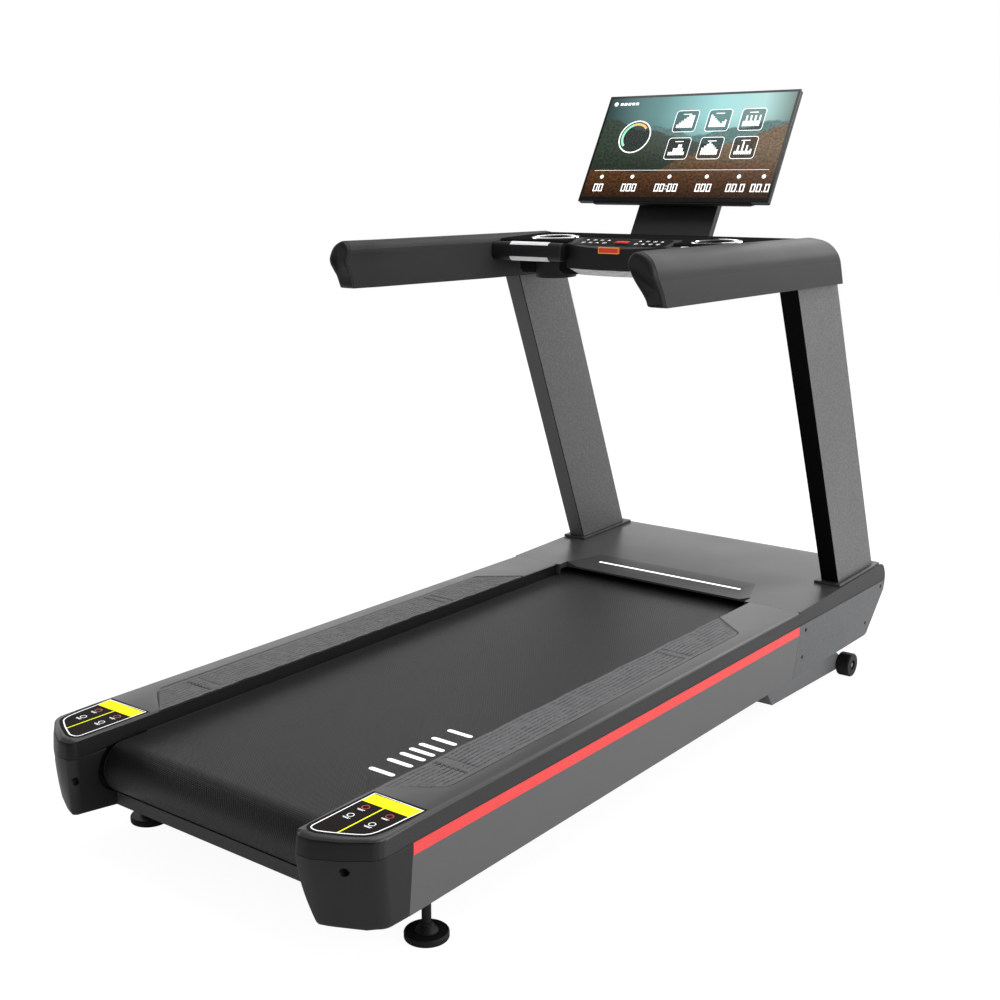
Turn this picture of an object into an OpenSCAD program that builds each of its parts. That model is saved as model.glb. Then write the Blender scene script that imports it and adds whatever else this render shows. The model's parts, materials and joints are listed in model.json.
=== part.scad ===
// Treadmill with side rails, running belt, powered rollers, incline frame, handrails and screen
// Millimetres, +X to the user's right, +Y forward to the motor cover, +Z up
// Origin on the floor below the centre of the footprint

/* [Overall] */
// Overall length along the running direction
overall_length = 2172; // [2160:4:2200]
// Half of the width over the side rails
half_width = 450; // [446:2:456]
// Height of the side covers above the floor
step_height = 280; // [278:2:286]

/* [Side rails] */
// Height of the side rail section
rail_height = 132; // [128:2:134]
// Width of the hollow tube behind its outer skin
rail_tube = 74; // [72:2:76]
// Thickness of the outer skin
rail_skin = 4; // [3:0.5:5]
// Wall of the hollow tube
rail_wall = 3; // [2.5:0.5:4]
// Height of the accent stripe
stripe_height = 23; // [18:1:28]
// Thickness of the accent stripe
stripe_thickness = 0.8; // [0.6:0.1:1.2]

/* [Covers] */
// Height of the side cover above the rail
cover_height = 38; // [36:1:40]
// Wall of the moulded covers
cover_wall = 3; // [2.5:0.5:4]
// Half of the opening between the side covers
well_half = 304; // [302:1:306]
// Length of the rear end caps
cap_length = 151; // [147:1:155]
// Length of the motor cover
hood_length = 541; // [530:1:550]
// Rise of the motor cover towards the front
hood_rise = 10; // [6:1:14]

/* [Deck and belt] */
// Width of the running belt
belt_width = 590; // [570:2:592]
// Thickness of the running belt
belt_thickness = 2.5; // [2:0.1:3]
// Depth of the belt below the side covers
belt_drop = 30; // [28:1:32]
// Thickness of the deck board
deck_thickness = 22; // [18:1:24]
// Half of the deck board width
deck_half = 345; // [335:1:355]
// Height of the rubber cushions
cushion_height = 26; // [24:1:28]

/* [Rollers] */
// Radius of both rollers
roller_radius = 50.6; // [48.6:0.5:51.6]
// Overhang of a roller past the edge of the belt
roller_lip = 5; // [4:0.5:6]
// Radius of the fixed roller axles
axle_radius = 10; // [9:0.5:11]
// Radius of the grooved wheel on the front roller
driven_radius = 46; // [42:1:48]

/* [Drive] */
// Radius of the motor can
motor_radius = 58; // [52:1:60]
// Length of the motor can
motor_length = 210; // [190:5:215]
// Radius of the motor pulley
pulley_radius = 24; // [22:1:27]
// Radius of the flywheel
flywheel_radius = 56; // [50:1:58]
// Thickness of the drive belt
drive_belt_thickness = 4; // [3:0.5:5]

/* [Incline] */
// Radius of the front wheels
wheel_radius = 32.5; // [31:0.5:33.5]
// Width of the front wheels
wheel_width = 36; // [34:1:38]
// Radius of the pivot pins
pivot_radius = 8; // [7:0.5:9]
// Distance from the pivot to the wheel axle
lift_reach = 370; // [362:2:378]

/* [Rear feet] */
// Radius of the foot disc
foot_radius = 42; // [38:1:44]
// Thickness of the foot disc
foot_disc = 14; // [12:1:16]
// Radius of the foot stem
stem_radius = 9; // [8:0.5:10]

/* [Uprights] */
// Width of an upright across the machine
upright_width = 49; // [46:1:51]
// Depth of an upright along the machine
upright_depth = 221; // [214:1:224]
// Backward lean of the uprights in degrees
upright_lean = 22.2; // [21.9:0.1:22.5]

/* [Handrails] */
// Height of the handrail underside above the side covers
arm_underside = 812; // [806:2:818]
// Height of a handrail
arm_height = 113; // [110:1:116]
// Length of a handrail
arm_length = 858; // [846:2:866]

/* [Console] */
// Radius of the cup holders
cup_radius = 50; // [46:1:52]
// Distance of the cup holders from the middle
cup_offset = 237; // [235:1:240]
// Travel of the stop key
stop_travel = 1.5; // [1:0.1:2]

/* [Screen] */
// Width of the screen
screen_width = 567; // [556:1:576]
// Height of the screen along its slope
screen_height = 318; // [312:1:324]
// Backward slope of the screen in degrees
screen_lean = 29.5; // [28.5:0.5:30.5]
// Thickness of the screen edge
screen_edge = 15; // [13:1:17]

/* [Fits] */
// Radial running clearance of pins and shafts
running_fit = 0.05; // [0.02:0.01:0.1]
// Gap between a moving face and its neighbour
moving_gap = 0.5; // [0.4:0.1:1]

/* [Hidden] */
$fn = 64;

rear_y = -overall_length / 2;
front_y = overall_length / 2;
cap_y = rear_y + cap_length;
seam_y = front_y - hood_length;
rail_top = step_height - cover_height;
rail_bottom = rail_top - rail_height;
rail_web = rail_bottom + rail_height / 2;
tube_out = half_width - rail_skin;
tube_in = tube_out - rail_tube;
rail_rear_y = cap_y - 2;
rail_front_y = front_y - 110;
plate_lean = 30;
cap_lean = 14;

belt_top = step_height - belt_drop;
deck_top = belt_top - belt_thickness;
deck_bottom = deck_top - deck_thickness;
member_top = deck_bottom - cushion_height;
member_height = 34;
member_bottom = member_top - member_height;
belt_inner = roller_radius + 0.4;
belt_outer = belt_inner + belt_thickness;
roller_z = belt_top - belt_outer;
rear_roller_y = rear_y + 123;
front_roller_y = front_y - 400;
roller_half = belt_width / 2 + roller_lip;
driven_width = 22;
driven_x = -roller_half - 24;
bearing_radius = axle_radius + 10;
bearing_width = 14;
bolt_x = tube_in + 20;
bolt_seat = 79;
bolt_radius = 5;
rear_axle_half = bolt_x + 9;
front_axle_half = tube_in - 3.4;

motor_y = front_roller_y + 185;
motor_z = roller_z - 6;
motor_end_x = driven_x + 80;
pan_z = rail_bottom + 1;

pivot_y = front_y - 541;
pivot_z = 56;
lift_tube = 40;
lift_bottom = 33;
lift_fall = 13;
wheel_y = pivot_y + lift_reach;
wheel_z = wheel_radius;
wheel_out = half_width - 10;
wheel_in = wheel_out - wheel_width;
lift_out = wheel_in - 1.5;
lift_in = lift_out - 30;
lift_rear_y = pivot_y - 70;
lever_rise = 45;
ram_x = 42;
ram_y = pivot_y + 375;
ram_z = pivot_z + lever_rise + 48;
ram_slope = atan((ram_z - pivot_z - lever_rise) / (ram_y - pivot_y));
ram_reach = (ram_y - pivot_y) / cos(ram_slope);
eye_play = 1.8;

foot_x = tube_in + 20;
foot_y = cap_y + 97;

upright_in = half_width - 64.5;
upright_out = upright_in + upright_width;
lean_shift = tan(upright_lean);
upright_y = front_y - 279;
arm_z = step_height + arm_underside;
arm_top = arm_z + arm_height;
arm_front_y = front_y - 392;
arm_rear_y = arm_front_y - arm_length;
upright_top = arm_z + 40;

tray_top = arm_top - 2;
tray_rear_y = arm_front_y - 90;
bar_y = arm_front_y - 359;
tray_y = bar_y + 40;
tray_half = half_width - 79;
cup_y = bar_y + 100;
cup_depth = 100;
box_half = 152;
box_y = bar_y - 5;
box_bottom = arm_z + 33;
key_slope = 13.5;
key_y = bar_y + 21;
key_z = arm_z + 92;

screen_y = arm_front_y - 91.4;
screen_z = arm_top + 81.5;
mast_gap = 46;
mast_half = 118;

// Box between two corners given as ranges
module span(x, y, z) {
  translate([x[0], y[0], z[0]])
    cube([x[1] - x[0], y[1] - y[0], z[1] - z[0]]);
}

// Outline drawn as Y and Z, spanning a range of X
module side_profile(x, points) {
  translate([x[0], 0, 0])
    rotate([90, 0, 90])
      linear_extrude(x[1] - x[0])
        polygon(points);
}

// Outline drawn as X and Z, spanning a range of Y
module cross_profile(y, points) {
  translate([0, y[1], 0])
    rotate([90, 0, 0])
      linear_extrude(y[1] - y[0])
        polygon(points);
}

// Outline drawn as X and Y, spanning a range of Z
module plan_profile(z, points) {
  translate([0, 0, z[0]])
    linear_extrude(z[1] - z[0])
      polygon(points);
}

module rod_x(x, y, z, r) {
  translate([x[0], y, z])
    rotate([0, 90, 0])
      cylinder(h = x[1] - x[0], r = r);
}

module rod_y(x, y, z, r) {
  translate([x, y[1], z])
    rotate([90, 0, 0])
      cylinder(h = y[1] - y[0], r = r);
}

module rod_z(x, y, z, r) {
  translate([x, y, z[0]])
    cylinder(h = z[1] - z[0], r = r);
}

module both_sides() {
  children();
  mirror([1, 0, 0])
    children();
}

module on_side(s) {
  if (s > 0)
    children();
  else
    mirror([1, 0, 0])
      children();
}

function arc(cx, cy, r, a0, a1, n) =
  [for (i = [0 : n])
    let (a = a0 + (a1 - a0) * i / n)
      [cx + r * cos(a), cy + r * sin(a)]];

// ---- Frame

// Leaning column with a clearance all round
module lean_column(grow, z0, z1) {
  y0 = upright_y - lean_shift * (z0 - step_height);
  y1 = upright_y - lean_shift * (z1 - step_height);
  side_profile([upright_in - grow, upright_out + grow], [
    [y0 - grow, z0],
    [y0 + upright_depth + grow, z0],
    [y1 + upright_depth + grow, z1],
    [y1 - grow, z1]
  ]);
}

module rail_solid() {
  difference() {
    union() {
      difference() {
        span([tube_in, tube_out], [rail_rear_y, rail_front_y], [rail_bottom, rail_top]);
        span([tube_in + rail_wall, tube_out - rail_wall],
          [rail_rear_y - 1, rail_front_y + 1],
          [rail_bottom + rail_wall, rail_web - rail_wall]);
        span([tube_in + rail_wall, tube_out - rail_wall],
          [rail_rear_y - 1, rail_front_y + 1],
          [rail_web, rail_top - rail_wall]);
      }
      // Outer skin with a slanted front end
      side_profile([tube_out, half_width], [
        [cap_y - cap_lean, rail_bottom],
        [seam_y - plate_lean, rail_bottom],
        [seam_y, rail_top - stripe_height],
        [seam_y, rail_top],
        [cap_y, rail_top]
      ]);
      // Boss of the levelling foot
      span([foot_x - 16, foot_x + 16], [foot_y - 16, foot_y + 16],
        [rail_bottom + rail_wall, rail_bottom + 28]);
      // Lug of the incline pivot
      difference() {
        union() {
          span([tube_in - 8, tube_in], [pivot_y - 18, pivot_y + 18], [pivot_z, rail_web]);
          rod_x([tube_in - 8, tube_in], pivot_y, pivot_z, 18);
        }
        rod_x([tube_in - 9, tube_in + 1], pivot_y, pivot_z, pivot_radius + running_fit);
      }
      // Block of the front roller axle
      difference() {
        span([tube_in - 16, tube_in], [front_roller_y - 20, front_roller_y + 20],
          [roller_z - 20, roller_z + 20]);
        rod_x([tube_in - 17, tube_in + 1], front_roller_y, roller_z, axle_radius + running_fit);
      }
    }
    // Recess of the stripe
    span([half_width - stripe_thickness, half_width + 1], [cap_y - 1, seam_y + 1],
      [rail_top - stripe_height, rail_top + 1]);
    rod_z(foot_x, foot_y, [rail_bottom - 1, rail_bottom + 29], stem_radius + running_fit);
    // Slot of the upright
    lean_column(0.3, rail_web + 2, rail_top + 10);
  }
}

module side_rail_left() {
  color([0.45, 0.46, 0.47])
    on_side(-1)
      rail_solid();
}

module side_rail_right() {
  color([0.45, 0.46, 0.47])
    on_side(1)
      rail_solid();
}

module accent_stripes() {
  color([0.93, 0.2, 0.2])
    both_sides()
      span([half_width - stripe_thickness, half_width], [cap_y, seam_y],
        [rail_top - stripe_height, rail_top]);
}

// Rear cross beam with the two roller tension brackets
module rear_beam() {
  color([0.33, 0.33, 0.34]) {
    difference() {
      span([-tube_out, tube_out], [rail_rear_y - 40, rail_rear_y],
        [rail_bottom, rail_bottom + 27]);
      span([-tube_out - 1, tube_out + 1], [rail_rear_y - 38, rail_rear_y - 2],
        [rail_bottom + 2, rail_bottom + 25]);
    }
    both_sides()
      difference() {
        union() {
          span([tube_in + rail_wall, tube_in + rail_wall + 6],
            [rear_roller_y - bolt_seat, rail_rear_y + 45],
            [rail_web + 1, rail_top - rail_wall - 1]);
          span([tube_in + rail_wall, tube_in + rail_wall + 6],
            [rail_rear_y - 40, rail_rear_y], [rail_bottom + 27, rail_web + 1]);
          span([tube_in + rail_wall, bolt_x + 10],
            [rear_roller_y - bolt_seat, rear_roller_y - bolt_seat + 6],
            [roller_z - 14, rail_top - rail_wall - 1]);
        }
        // Slot that lets the axle move
        span([tube_in, tube_in + rail_wall + 7], [rear_roller_y - 16, rear_roller_y + 16],
          [roller_z - axle_radius - 0.2, roller_z + axle_radius + 0.2]);
        rod_y(bolt_x, [rear_roller_y - bolt_seat - 1, rear_roller_y - bolt_seat + 7], roller_z, bolt_radius + 0.2);
      }
  }
}

module deck_members() {
  color([0.2, 0.2, 0.21])
    for (y = member_rows)
      difference() {
        span([-tube_in, tube_in], [y - 20, y + 20], [member_bottom, member_top]);
        span([-tube_in - 1, tube_in + 1], [y - 18, y + 18],
          [member_bottom + 2, member_top - 2]);
      }
}

member_rows = [rear_roller_y + 213, rear_roller_y + 640, front_roller_y - 580, front_roller_y - 182];

// Front cross beam with the fork and pin that hold the lift motor
module front_beam() {
  color([0.2, 0.2, 0.21]) {
    difference() {
      span([-tube_in, tube_in], [rail_front_y - 40, rail_front_y],
        [pan_z + 3, pan_z + 33]);
      span([-tube_in - 1, tube_in + 1], [rail_front_y - 38, rail_front_y - 2],
        [pan_z + 5, pan_z + 31]);
    }
    for (x = [ram_x - 34, ram_x + 28])
      side_profile([x, x + 6], [
        [ram_y - 14, pan_z + 3],
        [rail_front_y - 39, pan_z + 3],
        [rail_front_y - 39, pan_z + 33],
        [ram_y + 4, ram_z + 14],
        [ram_y - 14, ram_z + 14]
      ]);
    rod_x([ram_x - 30, ram_x + 30], ram_y, ram_z, pivot_radius);
  }
}

// Pan below the drive with the saddle of the motor
module belly_pan() {
  color([0.12, 0.12, 0.13]) {
    difference() {
      span([-tube_in, tube_in], [motor_y - 70, rail_front_y], [pan_z, pan_z + 3]);
      for (x = [-250, -210, -170, 170, 210, 250])
        span([x, x + 14], [rail_front_y - 34, rail_front_y - 6], [pan_z - 1, pan_z + 4]);
      // Passage of the lift ram
      span([ram_x - 30, ram_x + 30], [motor_y - 71, motor_y - 30], [pan_z - 1, pan_z + 4]);
    }
    difference() {
      for (x = [motor_end_x + 20, motor_end_x + 130])
        span([x, x + 24], [motor_y - 60, motor_y + 60], [pan_z + 3, motor_z - 22]);
      rod_x([motor_end_x, motor_end_x + 200], motor_y, motor_z, motor_radius);
    }
  }
}

// ---- Deck and belt

module deck_board() {
  color([0.25, 0.2, 0.16])
    span([-deck_half, deck_half], [rear_roller_y + 62, front_roller_y - 62],
      [deck_bottom, deck_top]);
}

module deck_cushions() {
  color([0.07, 0.07, 0.07])
    both_sides()
      for (y = member_rows)
        rod_z(deck_half - 25, y, [member_top, deck_bottom], 18);
}

module running_belt() {
  color([0.2, 0.2, 0.21])
    difference() {
      union() {
        rod_x([-belt_width / 2, belt_width / 2], rear_roller_y, roller_z, belt_outer);
        rod_x([-belt_width / 2, belt_width / 2], front_roller_y, roller_z, belt_outer);
        span([-belt_width / 2, belt_width / 2], [rear_roller_y, front_roller_y],
          [roller_z - belt_outer, roller_z + belt_outer]);
      }
      rod_x([-belt_width, belt_width], rear_roller_y, roller_z, belt_inner);
      rod_x([-belt_width, belt_width], front_roller_y, roller_z, belt_inner);
      span([-belt_width, belt_width], [rear_roller_y, front_roller_y],
        [roller_z - belt_inner, roller_z + belt_inner]);
    }
}

// ---- Rollers

module roller_drum(y) {
  difference() {
    rod_x([-roller_half, roller_half], y, roller_z, roller_radius);
    rod_x([-roller_half + 24, roller_half - 24], y, roller_z, roller_radius - 4);
    rod_x([-roller_half - 1, roller_half + 1], y, roller_z, axle_radius + 2);
    rod_x([-roller_half - 1, -roller_half + bearing_width], y, roller_z,
      bearing_radius + running_fit);
    rod_x([roller_half - bearing_width, roller_half + 1], y, roller_z,
      bearing_radius + running_fit);
  }
}

module rear_roller() {
  color([0.6, 0.6, 0.62])
    roller_drum(rear_roller_y);
}

module front_roller() {
  color([0.6, 0.6, 0.62]) {
    roller_drum(front_roller_y);
    // Grooved wheel and its neck
    difference() {
      union() {
        rod_x([driven_x - driven_width / 2, driven_x + driven_width / 2],
          front_roller_y, roller_z, driven_radius - 2);
        for (i = [0 : 5])
          rod_x([driven_x - driven_width / 2 + i * 4, driven_x - driven_width / 2 + i * 4 + 2],
            front_roller_y, roller_z, driven_radius);
        rod_x([driven_x + driven_width / 2, -roller_half], front_roller_y, roller_z, 34);
      }
      rod_x([driven_x - driven_width, -roller_half - 1], front_roller_y, roller_z, axle_radius + 2);
      rod_x([-roller_half - 2, -roller_half + 1], front_roller_y, roller_z,
        bearing_radius + running_fit);
    }
  }
}

module rear_axle() {
  color([0.7, 0.7, 0.72])
    difference() {
      rod_x([-rear_axle_half, rear_axle_half], rear_roller_y, roller_z, axle_radius);
      both_sides()
        rod_y(bolt_x, [rear_roller_y - 30, rear_roller_y + 30], roller_z, bolt_radius + 0.1);
    }
}

module front_axle() {
  color([0.7, 0.7, 0.72])
    rod_x([-front_axle_half, front_axle_half], front_roller_y, roller_z, axle_radius);
}

module roller_bearings() {
  color([0.75, 0.75, 0.77])
    for (y = [rear_roller_y, front_roller_y])
      both_sides()
        difference() {
          rod_x([roller_half - bearing_width + 1, roller_half], y, roller_z, bearing_radius);
          rod_x([roller_half - bearing_width, roller_half + 1], y, roller_z, axle_radius + 0.02);
        }
}

module tension_bolts() {
  color([0.55, 0.55, 0.57])
    both_sides() {
      rod_y(bolt_x, [rear_roller_y - bolt_seat, rear_roller_y + 26], roller_z, bolt_radius);
      translate([bolt_x, rear_roller_y - bolt_seat, roller_z])
        rotate([90, 0, 0])
          difference() {
            cylinder(h = 9, r = 8.5);
            translate([0, 0, 4])
              cylinder(h = 6, r = 4.6, $fn = 6);
          }
    }
}

// ---- Drive

module drive_motor() {
  color([0.16, 0.16, 0.17])
    difference() {
      union() {
        rod_x([motor_end_x, motor_end_x + motor_length], motor_y, motor_z, motor_radius - 2);
        rod_x([motor_end_x + 12, motor_end_x + motor_length - 30], motor_y, motor_z, motor_radius);
        rod_x([motor_end_x - 8, motor_end_x], motor_y, motor_z, 22);
      }
      rod_x([motor_end_x - 9, motor_end_x + 80], motor_y, motor_z, 9 + running_fit);
    }
}

module motor_rotor() {
  color([0.5, 0.5, 0.52]) {
    rod_x([driven_x - driven_width / 2 - 4, motor_end_x + 76], motor_y, motor_z, 9);
    difference() {
      rod_x([driven_x - driven_width / 2, driven_x + driven_width / 2], motor_y, motor_z,
        pulley_radius);
      for (i = [0 : 4])
        difference() {
          rod_x([driven_x - driven_width / 2 + 2 + i * 4, driven_x - driven_width / 2 + 4 + i * 4],
            motor_y, motor_z, pulley_radius + 1);
          rod_x([driven_x - driven_width, driven_x + driven_width], motor_y, motor_z,
            pulley_radius - 2);
        }
    }
    difference() {
      rod_x([driven_x + 30, driven_x + 58], motor_y, motor_z, flywheel_radius);
      difference() {
        rod_x([driven_x + 46, driven_x + 60], motor_y, motor_z, flywheel_radius - 12);
        rod_x([driven_x + 40, driven_x + 60], motor_y, motor_z, 20);
      }
    }
  }
}

belt_fall = motor_z - roller_z;
belt_run = motor_y - front_roller_y;
belt_span = sqrt(belt_fall * belt_fall + belt_run * belt_run);
belt_turn = atan(belt_fall / belt_run);
belt_wrap = asin((driven_radius - pulley_radius) / belt_span);

module drive_belt() {
  low = 0.5;
  high = low + drive_belt_thickness;
  color([0.05, 0.05, 0.05])
    difference() {
      belt_loop(driven_width, high);
      belt_loop(driven_width + 4, low);
    }
}

// Two rounded ends joined along their common tangents
module belt_loop(width, grow) {
  a = 90 - belt_wrap;
  x = [driven_x - width / 2 + 1, driven_x + width / 2 - 1];
  big = driven_radius + grow;
  small = pulley_radius + grow;
  rod_x(x, front_roller_y, roller_z, big);
  rod_x(x, motor_y, motor_z, small);
  side_profile(x, [
    [front_roller_y + big * cos(a + belt_turn), roller_z + big * sin(a + belt_turn)],
    [motor_y + small * cos(a + belt_turn), motor_z + small * sin(a + belt_turn)],
    [motor_y + small * cos(belt_turn - a), motor_z + small * sin(belt_turn - a)],
    [front_roller_y + big * cos(belt_turn - a), roller_z + big * sin(belt_turn - a)]
  ]);
}

module motor_controller() {
  color([0.35, 0.36, 0.37]) {
    span([190, 340], [motor_y - 60, motor_y + 60], [pan_z + 3, pan_z + 36]);
    for (i = [0 : 11])
      span([194 + i * 12.5, 198 + i * 12.5], [motor_y - 56, motor_y + 56],
        [pan_z + 36, pan_z + 62]);
  }
}

// ---- Incline

// Along the ram, from its hinge at the motor down and back to the lever
module along_ram() {
  translate([ram_x, ram_y, ram_z])
    rotate([90 + ram_slope, 0, 0])
      children();
}

module lift_motor() {
  color([0.2, 0.2, 0.21])
    difference() {
      along_ram() {
        // Gear housing, outer tube and motor can beside it
        translate([-24, -22, -11])
          cube([48, 46, 58]);
        translate([20, -16, 18])
          cube([74, 56, 28]);
        cylinder(h = 240, r = 16);
        translate([64, 16, 45])
          cylinder(h = 106, r = 27);
      }
      along_ram()
        translate([0, 0, 60])
          cylinder(h = 200, r = 11 + running_fit);
      rod_x([ram_x - 30, ram_x + 30], ram_y, ram_z, pivot_radius + running_fit);
    }
}

module lift_screw() {
  color([0.62, 0.62, 0.64])
    difference() {
      union() {
        along_ram()
          translate([0, 0, 90])
            cylinder(h = ram_reach - 101, r = 11);
        rod_x([ram_x - 9, ram_x + 9], pivot_y, pivot_z + lever_rise, 15);
      }
      rod_x([ram_x - 12, ram_x + 12], pivot_y, pivot_z + lever_rise, 6 + eye_play);
    }
}

module lift_frame() {
  top = lift_bottom + lift_tube;
  color([0.42, 0.43, 0.44]) {
    // Rear cross tube with its slanted back
    side_profile([-lift_out, lift_out], [
      [lift_rear_y, top],
      [lift_rear_y + 30, lift_bottom],
      [lift_rear_y + 32, lift_bottom],
      [lift_rear_y + 32, top]
    ]);
    both_sides() {
      difference() {
        union() {
          side_profile([lift_in, lift_out], [
            [lift_rear_y + 30, lift_bottom],
            [lift_rear_y + 30, top],
            [wheel_y - 26, top],
            [wheel_y - 26, lift_bottom - lift_fall]
          ]);
          // Wheel end of the arm
          side_profile([lift_in + 18, lift_out], [
            [wheel_y - 30, lift_bottom - lift_fall + 2],
            [wheel_y + 2, wheel_z - 14],
            [wheel_y + 14, wheel_z],
            [wheel_y + 6, wheel_z + 14],
            [wheel_y - 30, top - 2]
          ]);
        }
        side_profile([lift_in + 3, lift_out - 3], [
          [lift_rear_y + 60, lift_bottom + 2.3],
          [lift_rear_y + 60, top - 3],
          [wheel_y - 32, top - 3],
          [wheel_y - 32, lift_bottom - lift_fall + 3.3]
        ]);
        rod_x([lift_in - 1, lift_in + 4], pivot_y, pivot_z, pivot_radius - 1);
      }
      rod_x([tube_in - 12, lift_out - 3], pivot_y, pivot_z, pivot_radius);
      rod_x([lift_out - 6, wheel_out - 2], wheel_y, wheel_z, 6);
    }
    // Lever with its pin
    for (x = [ram_x - 17, ram_x + 11])
      side_profile([x, x + 6], [
        [lift_rear_y + 6, top - 4],
        [lift_rear_y + 31, lift_bottom + 8],
        [pivot_y + 12, pivot_z + lever_rise - 12],
        [pivot_y + 12, pivot_z + lever_rise + 6],
        [pivot_y - 4, pivot_z + lever_rise + 10]
      ]);
    rod_x([ram_x - 20, ram_x + 20], pivot_y, pivot_z + lever_rise, 6);
  }
}

module wheel_solid() {
  difference() {
    rod_x([wheel_in, wheel_out], wheel_y, wheel_z, wheel_radius - 1.5);
    rod_x([wheel_in - 1, wheel_out + 1], wheel_y, wheel_z, 6 + running_fit);
    rod_x([wheel_out - 4, wheel_out + 1], wheel_y, wheel_z, 14);
  }
  difference() {
    rod_x([wheel_in + 2.5, wheel_out - 2.5], wheel_y, wheel_z, wheel_radius);
    rod_x([wheel_in, wheel_out], wheel_y, wheel_z, wheel_radius - 2);
  }
}

module front_wheel_left() {
  color([0.09, 0.09, 0.09])
    on_side(-1)
      wheel_solid();
}

module front_wheel_right() {
  color([0.09, 0.09, 0.09])
    on_side(1)
      wheel_solid();
}

// ---- Rear feet

module foot_solid() {
  translate([foot_x, foot_y, 0]) {
    rotate_extrude()
      polygon([
        [0, 0],
        [foot_radius - 1.5, 0],
        [foot_radius, 1.5],
        [foot_radius, foot_disc - 2],
        [foot_radius - 2, foot_disc],
        [22, foot_disc],
        [20, foot_disc + 3],
        [13, foot_disc + 12],
        [stem_radius, foot_disc + 14],
        [0, foot_disc + 14]
      ]);
    cylinder(h = rail_bottom + 40, r = stem_radius);
    translate([0, 0, foot_disc + 12])
      cylinder(h = 6, r = stem_radius + 3);
  }
}

module rear_foot_left() {
  color([0.08, 0.08, 0.08])
    on_side(-1)
      foot_solid();
}

module rear_foot_right() {
  color([0.08, 0.08, 0.08])
    on_side(1)
      foot_solid();
}

module lock_nuts() {
  color([0.12, 0.12, 0.12])
    both_sides()
      difference() {
        translate([foot_x, foot_y, rail_bottom - 10])
          cylinder(h = 10, r = stem_radius + 6.5, $fn = 6);
        rod_z(foot_x, foot_y, [rail_bottom - 11, rail_bottom + 1], stem_radius + running_fit);
      }
}

// ---- Covers

cover_out = half_width - 1.5;

// Plan of the rear end of a side cover, drawn inwards by a wall
function cap_plan(t, y1) = concat(
  [[well_half + t, y1]],
  arc(well_half + 20, rear_y + 20, 20 - t, 180, 270, 6),
  [[352, rear_y + 2 + t], [397, rear_y + 26 + 1.1 * t]],
  arc(half_width - 34, rear_y + 82, 34 - t, -60, 0, 6),
  [[half_width - t, y1]]);

// Plan at the foot of an end cap, where it has drawn in
function cap_foot(t, y1) = concat(
  [[well_half + 40 + t, y1]],
  arc(well_half + 58, rear_y + 40, 18 - t, 180, 262, 6),
  [[376, rear_y + 31 + t], [428, rear_y + 58 + 1.1 * t]],
  arc(half_width - 32, rear_y + 96, 32 - t, -50, 0, 6),
  [[half_width - t, y1]]);

pad_plan = [
  [well_half + 2, cap_y + 67],
  [half_width - 47, cap_y + 147],
  [half_width - 45, cap_y + 153],
  [half_width - 45, cap_y + 1232],
  [half_width - 49, cap_y + 1247],
  [well_half + 2, cap_y + 1321]
];

pad_depth = 2.5;

label_plan = [
  [320, cap_y + 40],
  [half_width - 14, cap_y + 40],
  [half_width - 15, cap_y - 42],
  [half_width - 24, cap_y - 60],
  [half_width - 48, cap_y - 77],
  [352, cap_y - 101],
  [330, cap_y - 109],
  [316, cap_y - 107],
  [312, cap_y - 98]
];

module cover_solid() {
  top = step_height;
  skirt = belt_top + 0.5;
  difference() {
    union() {
      // Straight part with rounded edges
      cross_profile([cap_y - 10, seam_y - 0.4], concat(
        [[well_half, skirt]],
        arc(well_half + 4, top - 4, 4, 180, 90, 4),
        arc(cover_out - 7, top - 7, 7, 90, 0, 6),
        [[cover_out, rail_top],
          [cover_out - cover_wall, rail_top],
          [cover_out - cover_wall, top - 5.5],
          [well_half + cover_wall, top - 5.5],
          [well_half + cover_wall, skirt]]));
      // Rear end
      difference() {
        hull() {
          plan_profile([rail_top, top - 9], cap_plan(1.5, cap_y));
          plan_profile([top - 3, top - 2.9], cap_plan(4.5, cap_y));
          plan_profile([top - 0.1, top], cap_plan(10, cap_y));
        }
        plan_profile([rail_top - 1, top - 9], cap_plan(4.5, cap_y + 1));
      }
    }
    plan_profile([top - pad_depth, top + 1], pad_plan);
    plan_profile([top - 0.6, top + 1], label_plan);
    rod_x([well_half - 1, roller_half + 16], rear_roller_y, roller_z, belt_outer + 5);
  }
}

module rail_cover_left() {
  color([0.5, 0.5, 0.51])
    on_side(-1)
      cover_solid();
}

module rail_cover_right() {
  color([0.5, 0.5, 0.51])
    on_side(1)
      cover_solid();
}

module tread_pads() {
  color([0.48, 0.48, 0.49])
    both_sides() {
      plan_profile([step_height - pad_depth, step_height - 1.2], pad_plan);
      intersection() {
        plan_profile([step_height - 2, step_height], pad_plan);
        for (i = [0 : 12])
          span([well_half + 5 + i * 7.4, well_half + 8.4 + i * 7.4],
            [cap_y + 60, cap_y + 1330], [step_height - 2, step_height - 0.2]);
      }
    }
}

module label_plates() {
  color([0.1, 0.09, 0.09])
    both_sides()
      plan_profile([step_height - 0.6, step_height], label_plan);
}

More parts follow.
